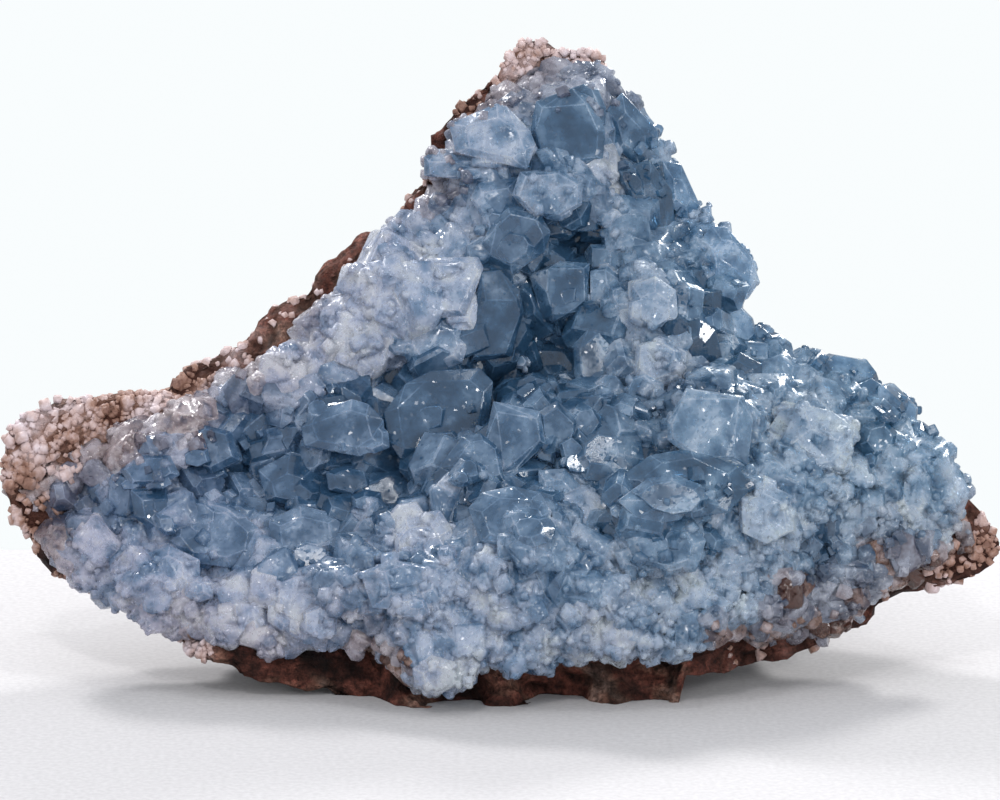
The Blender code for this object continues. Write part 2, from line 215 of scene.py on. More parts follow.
# Crags, chips and ledges on the rock: how wide they are and how high they stand, in millimetres
CRAG_WIDTH, CRAG_HEIGHT, CRAG_MIDDLE = 9.0, 0.8, 1.2
CRAG_SHAPE = (0.9, 2.1, 5, 0.9, 2.0)
CHIP_WIDTH, CHIP_HEIGHT, CHIP_MOST = 5.0, 1.4, 0.45
LEDGE_WIDTH, LEDGE_HEIGHT, LEDGE_SWAY, LEDGE_WAVE = 2.6, 0.5, 1.5, 8.0
ROCK_SINK = 0.6

# How far the value of a place on the drawing holds, in square millimetres, and how fast it fades
HOLD = 9.0
FADE = -2.6

# How fast the rind thins out around a place, and how far behind the crystals' faces it starts to
# end and how soon it has ended there, in millimetres
RIND_FADE = 1.6
RIND_DEPTH, RIND_END = 6, 8

# The rock's outline on the drawing: across, up
ROCK_OUTLINE = (
    (-96, -13), (-94, -7), (-90, -2), (-80, 1), (-66, 2), (-60, 7), (-49, 11), (-43, 18),
    (-37, 22), (-29, 30), (-19, 36), (-15, 42), (-13, 50), (-8, 57), (0, 64), (4, 68), (8, 69),
    (12, 66), (17, 67), (20, 64), (23, 57), (27, 49), (30, 41), (35, 34), (40, 28), (41, 21),
    (40, 14), (47, 6), (57, 3), (66, 0), (74, -4), (79, -11), (86, -17), (92, -20), (96, -26),
    (95, -32), (86, -36), (78, -37), (71, -39), (69, -43), (61, -48), (52, -51), (44, -53),
    (36, -53), (34, -60), (28, -62), (8, -60), (-4, -62), (-14, -63), (-20, -60), (-33, -56),
    (-44, -55), (-51, -51), (-61, -48), (-66, -44), (-79, -37), (-90, -30), (-94, -21),
)

# Where the crystals' faces lie: across, up, behind, and how thick the crust is there
FRONT = (
    # peak
    (8, 65, 22, 2), (-4, 58, 18, 3), (-1, 51, 12, 8), (12, 53, 14, 8), (27, 52, 20, 6),
    (36, 37, 20, 6), (46, 26, 15, 7), (44, 16, 12, 7),
    # hollow
    (13, 37, 10, 10), (14, 30, 21, 6), (1, 29, 11, 8), (11, 21, 13, 8), (6, 19, 21, 5),
    (22, 29, 14, 8), (20, 8, 9, 8), (0, 3, 18, 5), (-1, 15, 9, 8), (30, 15, 5, 10),
    (29, 3, 1, 10), (38, 11, 5, 10), (12, 8, 17, 6),
    # left ridge
    (-12, 33, 12, 5), (-15, 42, 18, 3), (-19, 19, 4, 8), (-36, 15, 6, 6), (-38, 21, 12, 2),
    (-21, 3, 13, 7), (-44, 5, 0, 8), (-52, 9, 10, 2), (-30, 8, 3, 8),
    # valley
    (-12, -3, 0, 10), (-30, -5, -2, 10), (-45, -5, 6, 7), (-38, -13, 3, 8), (-50, -14, 4, 7),
    (-19, -15, 2, 9), (-55, -25, -5, 8), (-33, -25, -5, 9), (-25, -28, -7, 9),
    # left wing
    (-63, -12, -2, 6), (-75, -1, 6, 1), (-91, -10, 2, 1), (-84, -19, 5, 4), (-80, -31, -4, 3),
    (-65, -43, -12, 2), (-42, -38, -15, 7), (-50, -49, -17, 3), (-31, -46, -19, 6),
    # front mass
    (-28, -36, -22, 8), (-20, -26, -18, 10), (-9, -20, -16, 10), (6, -5, -8, 12),
    (19, -9, -10, 12), (27, -8, -8, 12), (40, -5, -13, 12), (31, -23, -25, 10),
    (4, -31, -27, 9), (-13, -38, -27, 8), (-14, -53, -26, 6), (0, -48, -27, 5),
    (19, -46, -27, 6), (35, -44, -25, 6), (48, -38, -20, 7), (46, -19, -20, 9),
    # right wing
    (53, -5, 0, 8), (59, -7, -6, 9), (71, -6, 1, 8), (74, 1, 8, 4), (58, 8, 10, 5),
    (49, 11, 10, 7), (92, -27, 2, 2), (81, -17, -2, 5), (67, -23, -8, 7), (58, -19, -12, 8),
    (65, -36, -10, 5), (77, -35, -5, 2), (54, -49, -12, 6),
    # foot
    (12, -57, -20, 3), (-29, -54, -14, 2),
)

# Where a rind of sugar-like grains covers the wall: across, up, how far it reaches, how much
RIND = (
    (-76, -5, 16, 0.9), (-90, -10, 12, 0.9), (-62, 1, 12, 0.8), (-50, 10, 8, 0.4),
    (-40, 20, 7, 0.2), (-28, 30, 7, 0.15), (-16, 42, 7, 0.2), (-8, 57, 8, 0.3), (4, 66, 9, 0.8),
    (17, 65, 8, 0.6), (94, -26, 7, 0.5), (86, -31, 8, 0.3), (74, -36, 8, 0.3), (60, -45, 9, 0.3),
    (47, -50, 8, 0.1), (-62, -47, 8, 0.7), (-80, -36, 8, 0.8), (-90, -24, 7, 0.8),
)

# Where the outside of the geode's wall lies behind the drawing: across, up, behind
BACK = (
    (8, 65, 29), (12, 50, 40), (30, 45, 34), (-8, 52, 30), (44, 24, 32), (12, 25, 50),
    (-15, 20, 40), (5, -8, 53), (30, 0, 49), (-28, -8, 43), (42, -12, 45), (-40, 12, 25),
    (-48, -8, 35), (-70, -10, 23), (-90, -13, 8), (-72, -30, 15), (-48, -38, 28), (58, 0, 35),
    (74, -8, 25), (90, -26, 10), (68, -32, 23), (50, -38, 34), (5, -38, 52), (-8, -51, 37),
    (10, -51, 44), (27, -51, 38), (-13, -55, 16), (8, -55, 24), (26, -55, 18), (-16, -61, -14),
    (4, -61, -12), (24, -61, -14), (37, -55, -8), (-27, -52, 0), (-36, -54, -6), (-30, -42, 32),
    (-50, -50, -8), (44, -50, 0), (58, -48, 2),
)

def world(across, behind, up):
    """The world places, in metres, of points that the drawing shows and that lie behind it."""
    spread = 1 + np.asarray(behind) / DISTANCE
    seen = np.stack([across * spread, behind * np.ones_like(spread), up * spread], axis=-1)
    return (seen @ np.array(LEAN).T + np.array(MIDDLE)) * MM


def drawn(places):
    """The across, up and behind, in millimetres, of world places."""
    seen = (np.asarray(places) / MM - np.array(MIDDLE)) @ np.array(LEAN)
    spread = 1 + seen[:, 1] / DISTANCE
    return seen[:, 0] / spread, seen[:, 2] / spread, seen[:, 1]


def relief(places, across, up, item):
    """A value between those of the places; one counts much less from further away."""
    total, weights = 0.0, 0.0
    for place in places:
        weight = ((place[0] - across) ** 2 + (place[1] - up) ** 2 + HOLD) ** FADE
        total, weights = total + weight * place[item], weights + weight
    return total / weights


def crystal_face(across, up):
    """How far behind the drawing the crystals' faces lie."""
    return relief(FRONT, across, up, 2)


def rock_face(across, up):
    """The rock under the crust."""
    return crystal_face(across, up) + relief(FRONT, across, up, 3)


def rock_back(across, up):
    """The outside of the geode's wall."""
    return relief(BACK, across, up, 2)


def rind_cover(places):
    """How much of the wall the rind covers, from 0 to 1, at places on its front and its edges."""
    across, up, behind = drawn(places)
    cover = np.zeros(len(across))
    for side, height, reach, most in RIND:
        away = np.hypot(across - side, up - height) / reach
        cover = np.maximum(cover, most * np.clip(RIND_FADE * (1 - away), 0, 1))
    past = (behind - crystal_face(across, up) - RIND_DEPTH) / RIND_END
    return cover * np.clip(1 - past, 0, 1)


class Form:
    """A lump as the drawing shows it: its outline, and how far back its two sides lie."""

    def __init__(self, outline, near, far):
        spokes = sorted(
            (math.atan2(up - HEART[1], across - HEART[0]),
             math.hypot(across - HEART[0], up - HEART[1]))
            for across, up in outline
        )
        self.turns, self.reaches = zip(*spokes)
        self.near, self.far = near, far

    def reach(self, turn):
        """How far the outline is from the heart of the drawing in each direction, in radians."""
        return np.interp(turn, self.turns, self.reaches, period=math.tau)

    def share(self, across, up):
        """0 at the heart of the drawing and 1 at the outline."""
        side, height = np.asarray(across) - HEART[0], np.asarray(up) - HEART[1]
        return np.hypot(side, height) / self.reach(np.arctan2(height, side))

    def side(self, across, up, share, front):
        """How far behind the drawing a side lies, where it rounds over to meet the other."""
        near, far = self.near(across, up), self.far(across, up)
        round_over = np.maximum(0.0, 1 - share * share) ** ROUND_OVER
        return (near + far) / 2 + (near - far) / 2 * round_over * np.where(front, 1, -1)


def rugged(place, size, height):
    """A push in or out for lumps and pits, half of it in steps like broken ledges."""
    lump = noise.noise(place / size) + 0.5 * noise.noise(place / size * FINER_LUMPS)
    stepped = round(lump * LUMP_STEPS) / LUMP_STEPS
    return height * (lump + 0.5 * (stepped - lump))


def warped(form, detail, lumps):
    """A closed lump of the given form as a bmesh in metres: a ball drawn out and made rugged."""
    bm = bmesh.new()
    bmesh.ops.create_icosphere(bm, subdivisions=detail, radius=1.0)
    side, depth, height = np.array([vert.co for vert in bm.verts]).T
    turn, share = np.arctan2(height, side), np.hypot(side, height)
    out = np.stack([np.cos(turn), np.zeros_like(turn), np.sin(turn)], axis=-1)
    across = HEART[0] + out[:, 0] * share * form.reach(turn)
    up = HEART[1] + out[:, 2] * share * form.reach(turn)
    behind = form.side(across, up, share, depth < 0)
    spots = np.stack([across, behind, up], axis=-1)
    push = np.array([rugged(Vector(spot), *lumps) for spot in spots])
    flat = (share ** 4)[:, None]
    ahead = np.stack([np.zeros_like(turn), np.sign(depth), np.zeros_like(turn)], axis=-1)
    spots = spots + (out * flat + ahead * (1 - flat)) * push[:, None]
    for vert, place in zip(bm.verts, world(*spots.T)):
        vert.co = place
    bm.normal_update()
    return bm


def cut(bm, point, normal):
    """Cuts a closed shape along a plane, keeps what lies behind it and closes the cut."""
    whole = bm.verts[:] + bm.edges[:] + bm.faces[:]
    found = bmesh.ops.bisect_plane(
        bm, geom=whole, plane_co=point, plane_no=normal, clear_outer=True
    )
    rim = [item for item in found["geom_cut"] if isinstance(item, bmesh.types.BMEdge)]
    bmesh.ops.holes_fill(bm, edges=rim)


def piece(name, bm, smooth=False):
    """An object of a finished bmesh, which is freed."""
    mesh = bpy.data.meshes.new(name)
    bm.to_mesh(mesh)
    bm.free()
    mesh.shade_smooth() if smooth else mesh.shade_flat()
    made = bpy.data.objects.new(name, mesh)
    scene.collection.objects.link(made)
    return made


bm = warped(Form(ROCK_OUTLINE, rock_face, rock_back), ROCK_DETAIL, ROCK_LUMPS)
raised = bm.verts.layers.float.new("raised")
for vert in bm.verts:
    spot = vert.co / MM
    crag = noise.ridged_multi_fractal(
        spot / CRAG_WIDTH, *CRAG_SHAPE, noise_basis="PERLIN_ORIGINAL"
    )
    near, next_near = noise.voronoi(spot / CHIP_WIDTH)[0][:2]
    layer = (spot.z + LEDGE_SWAY * noise.noise(spot / LEDGE_WAVE)) / LEDGE_WIDTH
    vert[raised] = (
        CRAG_HEIGHT * (crag - CRAG_MIDDLE) + CHIP_HEIGHT * min(next_near - near, CHIP_MOST)
        + LEDGE_HEIGHT * abs(layer % 1 - 0.5) - ROCK_SINK
    )
    vert.co += vert.normal * vert[raised] * MM
cut(bm, Vector((0, 0, 0)), Vector((0, 0, -1)))
bmesh.ops.recalc_face_normals(bm, faces=bm.faces)
low, high = cad_box
for vert in bm.verts:
    vert.co = [min(max(value, low[axis]), high[axis]) for axis, value in enumerate(vert.co)]
rind = bm.verts.layers.float.new("rind")
for vert, cover in zip(bm.verts, rind_cover([vert.co for vert in bm.verts])):
    vert[rind] = cover
geode_wall = piece("geode_wall", bm, smooth=True)
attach(geode_wall, "root")
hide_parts("rock_wall")


def mixed(tree, factor, first, second, blend="MIX"):
    """A colour between two, or their product for a MULTIPLY blend."""
    made = node(tree, "Mix", {"Factor": factor, 6: first, 7: second}, data_type="RGBA",
                blend_type=blend)
    return made.outputs[2]


def ranged(tree, value, low, high, new_low=0.0, new_high=1.0):
    """A value that runs from one range over another, and stays within that one."""
    made = node(tree, "MapRange", {
        "Value": value, "From Min": low, "From Max": high, "To Min": new_low, "To Max": new_high,
    })
    return made.outputs["Result"]


def reckoned(tree, operation, *values, clamp=False):
    """What a Math node makes of some values."""
    made = node(tree, "Math", dict(enumerate(values)), operation=operation, use_clamp=clamp)
    return made.outputs[0]


def bumped(tree, height, strength, distance):
    """The normal of a surface that a height makes uneven."""
    made = node(tree, "Bump", {"Height": height, "Strength": strength, "Distance": distance})
    return made.outputs["Normal"]


def effect(name, inputs, outputs):
    """A new shader node group with named inputs and outputs, and its tree's two ends."""
    made = bpy.data.node_groups.new(name, "ShaderNodeTree")
    for way, sockets in (("INPUT", inputs), ("OUTPUT", outputs)):
        for socket, kind in sockets.items():
            made.interface.new_socket(socket, in_out=way, socket_type="NodeSocket" + kind)
    return made, made.nodes.new("NodeGroupInput").outputs, made.nodes.new("NodeGroupOutput").inputs


# Iron in the water stained the crust's thin edges and the rind, in patches from pale pink to brown.
# The broad patches of the rock and the rind are a noise of this scale, detail, roughness and
# distortion
BROAD_PATCHES = (75.0, 4.0, 0.6, 0.4)
iron_stain, given, shown = effect("iron stain", {"Patches": "Float"}, {"Colour": "Color"})
stain = ramp(
    iron_stain, given["Patches"], (0.36, (0.11, 0.04, 0.027)), (0.44, (0.34, 0.19, 0.14)),
    (0.52, (0.58, 0.43, 0.41)), (0.64, (0.76, 0.66, 0.70)),
)
iron_stain.links.new(stain, shown["Colour"])


def stained(tree, patches):
    """The colour of the iron stain, where patches run from 0.36, dark, to 0.64, pale."""
    return node(tree, "Group", {"Patches": patches}, node_tree=iron_stain).outputs["Colour"]


rock_finish, tree, principled = shader("brown rock", Specular_IOR_Level=0.3)
where = node(tree, "TexCoord").outputs["Object"]
broad = noisy(tree, where, *BROAD_PATCHES)
grain = noisy(tree, where, 700.0, 4.0, 0.75)
brown = ramp(
    tree, broad, (0.32, (0.020, 0.007, 0.005)), (0.43, (0.085, 0.024, 0.016)),
    (0.52, (0.23, 0.075, 0.052)), (0.6, (0.34, 0.17, 0.12)), (0.7, (0.42, 0.28, 0.23)),
)
pale = ramp(tree, grain, (0.36, 0.3), (0.52, 0.9), (0.66, 1.5))
speckled = mixed(tree, 1.0, brown, pale, "MULTIPLY")
raised = node(tree, "Attribute", attribute_name="raised").outputs["Fac"]
# Raised places are painted paler: partly pale dust, partly a painted highlight on the edges
edge = ranged(tree, raised, 0.2, 0.9, 0.0, 0.35)
dust_and_painted_highlight = mixed(tree, edge, speckled, (0.42, 0.27, 0.22, 1))
# Low places are painted darker: painted shade in the pits and between the ledges
painted_pit_shade = ranged(tree, raised, -0.9, 0.0, 0.25, 1.0)
rock_with_dust_and_painted_light = mixed(tree, 1.0, dust_and_painted_highlight, painted_pit_shade, "MULTIPLY")
patches = reckoned(tree, "MULTIPLY_ADD", raised, 0.12, broad)
rind = node(tree, "Attribute", attribute_name="rind").outputs["Fac"]
sugared = mixed(tree, rind, rock_with_dust_and_painted_light, stained(tree, patches))
rough = ranged(tree, grain, 0.0, 1.0, 1.0, 0.6)
lump = node(tree, "TexVoronoi", {"Vector": where, "Scale": 420.0, "Detail": 2.0}, feature="F1")
height = reckoned(tree, "ADD", lump.outputs["Distance"], grain)
bump = bumped(tree, height, 0.9, 0.002)
feed(tree, principled, Base_Color=sugared, Roughness=rough, Normal=bump)
geode_wall.data.materials.append(rock_finish)


# The crystal crust
# Blocky see-through blue crystals that grew on the geode's wall into its hollow. They overlap and
# are one solid: a bed, the large crystals that the piece is known by, those that fill between, and
# the fine ones that grew on them last.
SEED = 11

# The bed: how fine its mesh is, how wide and high its lumps are in millimetres, how far it lies
# behind the crystals' faces, and how far it reaches into the rock
BED_DETAIL = 6
BED_LUMPS = (7.0, 1.2)
BED_DEPTH = 1.8
BED_BACK = 7.0

# A large crystal, in millimetres and in shares of its outline: how deep its root reaches and how
# wide it is there, how far the slopes drop from its face and how much they lean with it, how far
# the face is shifted and how large it is where none is drawn, and how wide the edges are and how
# much milkier they are painted, as a painted highlight along them
ROOT_DEPTH, ROOT_SHARE = 11.0, 0.95
SLOPE_DROP, SLOPE_LEAN = (1.0, 1.8), 0.9
FACE_SHIFT, FACE_SHARE = 0.12, (0.45, 0.85)
EDGE = 0.16
EDGE_HIGHLIGHT_MILK = 0.13
FLAT_ANGLE = math.radians(8)

# The smaller crystals that step down beside a large one: how many, unless it stands out further
# than ALONE, how far from its middle, how large, how far they stand out, how much they tilt, how
# milky they are, and how near the crust's outline they may stand
BESIDE, ALONE = 7, 6
BESIDE_AWAY, BESIDE_SHARE = (0.25, 0.95), (0.3, 0.6)
BESIDE_PROUD, BESIDE_STEP, BESIDE_LEAN = (0.5, 1.0), (-0.2, 0.7), 0.8
BESIDE_TILT = 4
BESIDE_MILK = (0.02, 0.05)
CRUST_RIM = 0.93

# How many of its widths from its middle line a stain has faded out
STAIN_END = 1.5

# The outline of the crust on the drawing: across, up
CRUST_OUTLINE = (
    (-93, -17), (-89, -27), (-77, -35), (-59, -45), (-44, -48), (-35, -44), (-22, -46),
    (-19, -52), (-13, -55), (-8, -53), (-6, -49), (9, -49), (19, -48), (35, -46), (40, -46),
    (44, -43), (53, -45), (62, -44), (67, -40), (74, -35), (85, -31), (92, -27), (89, -18),
    (81, -8), (75, -1), (67, 3), (58, 7), (50, 10), (43, 16), (45, 22), (42, 28), (37, 34),
    (32, 41), (29, 49), (25, 57), (18, 63), (10, 64), (3, 61), (-4, 55), (-9, 49), (-12, 41),
    (-15, 35), (-23, 27), (-32, 18), (-40, 10), (-47, 5), (-57, 1), (-64, -4), (-74, -7),
    (-86, -12),
)

# How crystals grow in each part: across, up, how wide they are in millimetres, how milky (0 to 1),
# how much of them fine crystals cover (0 to 1), and how much rust the water left there (0 to 1)
GROWTH = (
    # peak
    (8, 64, 4.2, 0.72, 0.9, 0.6), (-3, 59, 4.2, 0.74, 0.9, 0.7), (0, 51, 6.0, 0.65, 0.1, 0.1),
    (14, 60, 4.8, 0.60, 0.5, 0.3), (22, 60, 4.8, 0.50, 0.5, 0.3), (13, 51, 6.0, 0.20, 0.1, 0.0),
    (26, 50, 5.4, 0.48, 0.4, 0.0), (30, 40, 5.4, 0.36, 0.4, 0.0), (20, 43, 4.8, 0.80, 1.0, 0.1),
    (37, 38, 6.0, 0.55, 0.5, 0.0), (44, 27, 5.4, 0.55, 0.5, 0.0), (38, 16, 6.0, 0.20, 0.1, 0.0),
    (46, 14, 7.3, 0.40, 0.2, 0.0),
    # hollow
    (3, 42, 6.0, 0.50, 0.3, 0.0), (12, 41, 6.7, 0.40, 0.6, 0.0), (15, 33, 7.0, 0.14, 0.0, 0.0),
    (8, 20, 8.0, 0.12, 0.0, 0.0), (0, 8, 8.0, 0.08, 0.0, 0.0), (20, 10, 8.0, 0.20, 0.0, 0.0),
    (-5, 14, 7.0, 0.30, 0.1, 0.0), (25, 33, 6.7, 0.45, 0.4, 0.0), (30, 14, 6.0, 0.66, 0.6, 0.0),
    (32, 4, 5.4, 0.62, 0.7, 0.1), (40, -5, 7.0, 0.40, 0.0, 0.0),
    # left ridge
    (-10, 32, 6.0, 0.60, 0.4, 0.0), (-14, 42, 4.2, 0.60, 0.7, 0.6), (-18, 24, 6.7, 0.78, 0.5, 0.0),
    (-30, 18, 5.4, 0.96, 0.7, 0.0), (-24, 10, 6.0, 0.80, 0.4, 0.0), (-40, 8, 5.4, 0.98, 0.7, 0.1),
    (-48, 6, 4.2, 1.01, 0.9, 0.6), (-36, 20, 4.2, 0.80, 0.8, 0.5),
    # valley
    (-20, 1, 8.0, 0.10, 0.0, 0.0), (-30, -4, 7.0, 0.18, 0.1, 0.0), (-48, -3, 7.3, 0.22, 0.1, 0.0),
    (-50, -13, 6.5, 0.20, 0.1, 0.0), (-33, -16, 7.0, 0.22, 0.1, 0.0),
    (-18, -14, 7.0, 0.18, 0.0, 0.0), (-30, -27, 6.0, 0.34, 0.2, 0.0),
    (-55, -24, 6.5, 0.42, 0.2, 0.0), (-43, -30, 6.0, 0.46, 0.3, 0.0),
    # left wing
    (-62, -4, 4.2, 0.94, 1.0, 0.7), (-74, -10, 4.2, 0.85, 1.0, 0.8),
    (-64, -13, 6.0, 0.55, 0.4, 0.1), (-88, -14, 4.2, 0.85, 1.0, 0.9),
    (-81, -19, 5.4, 0.25, 0.4, 0.2), (-73, -19, 6.7, 0.42, 0.3, 0.0),
    (-78, -28, 5.4, 0.60, 0.7, 0.1), (-66, -32, 6.7, 0.55, 0.5, 0.0),
    (-86, -28, 4.2, 0.85, 1.0, 0.7), (-62, -42, 4.8, 0.80, 0.9, 0.3),
    (-47, -40, 6.7, 0.78, 0.6, 0.0), (-36, -42, 6.7, 0.74, 0.7, 0.1),
    (-48, -49, 4.2, 0.88, 1.0, 0.4),
    # front
    (-22, -33, 6.7, 0.62, 0.8, 0.0), (-14, -24, 6.0, 0.48, 0.4, 0.0), (0, -20, 7.0, 0.38, 0.1, 0.0),
    (10, -9, 7.0, 0.30, 0.1, 0.0), (24, -9, 6.0, 0.34, 0.2, 0.0), (31, -18, 7.0, 0.26, 0.1, 0.0),
    (12, -30, 6.7, 0.51, 0.5, 0.0), (-6, -36, 5.4, 0.67, 0.9, 0.0), (10, -42, 4.8, 0.65, 1.0, 0.0),
    (28, -38, 4.8, 0.61, 1.0, 0.0), (44, -26, 6.0, 0.67, 0.8, 0.0), (54, -26, 5.4, 0.77, 0.9, 0.0),
    (44, -40, 4.8, 0.68, 1.0, 0.0), (-12, -48, 4.8, 0.70, 1.0, 0.0), (20, -47, 4.2, 0.76, 1.0, 0.1),
    (-12, -54, 4.2, 0.90, 1.0, 0.0), (-26, -46, 4.8, 0.70, 1.0, 0.2),
    # right wing
    (52, -12, 6.7, 0.55, 0.5, 0.0), (60, -7, 6.7, 0.80, 0.6, 0.0), (58, 4, 7.3, 0.48, 0.3, 0.0),
    (72, -2, 6.7, 0.36, 0.3, 0.0), (72, -11, 6.7, 0.52, 0.3, 0.0), (66, -18, 5.4, 0.68, 0.9, 0.0),
    (82, -14, 5.4, 0.62, 0.6, 0.0), (82, -22, 4.2, 0.73, 1.0, 0.1), (92, -25, 3.6, 0.78, 1.0, 0.4),
    (72, -26, 4.2, 0.45, 1.0, 0.2), (62, -28, 4.2, 0.34, 1.0, 0.1), (64, -38, 4.2, 0.40, 1.0, 0.4),
    (54, -44, 4.2, 0.45, 1.0, 0.5), (78, -32, 4.2, 0.50, 1.0, 0.5),
)

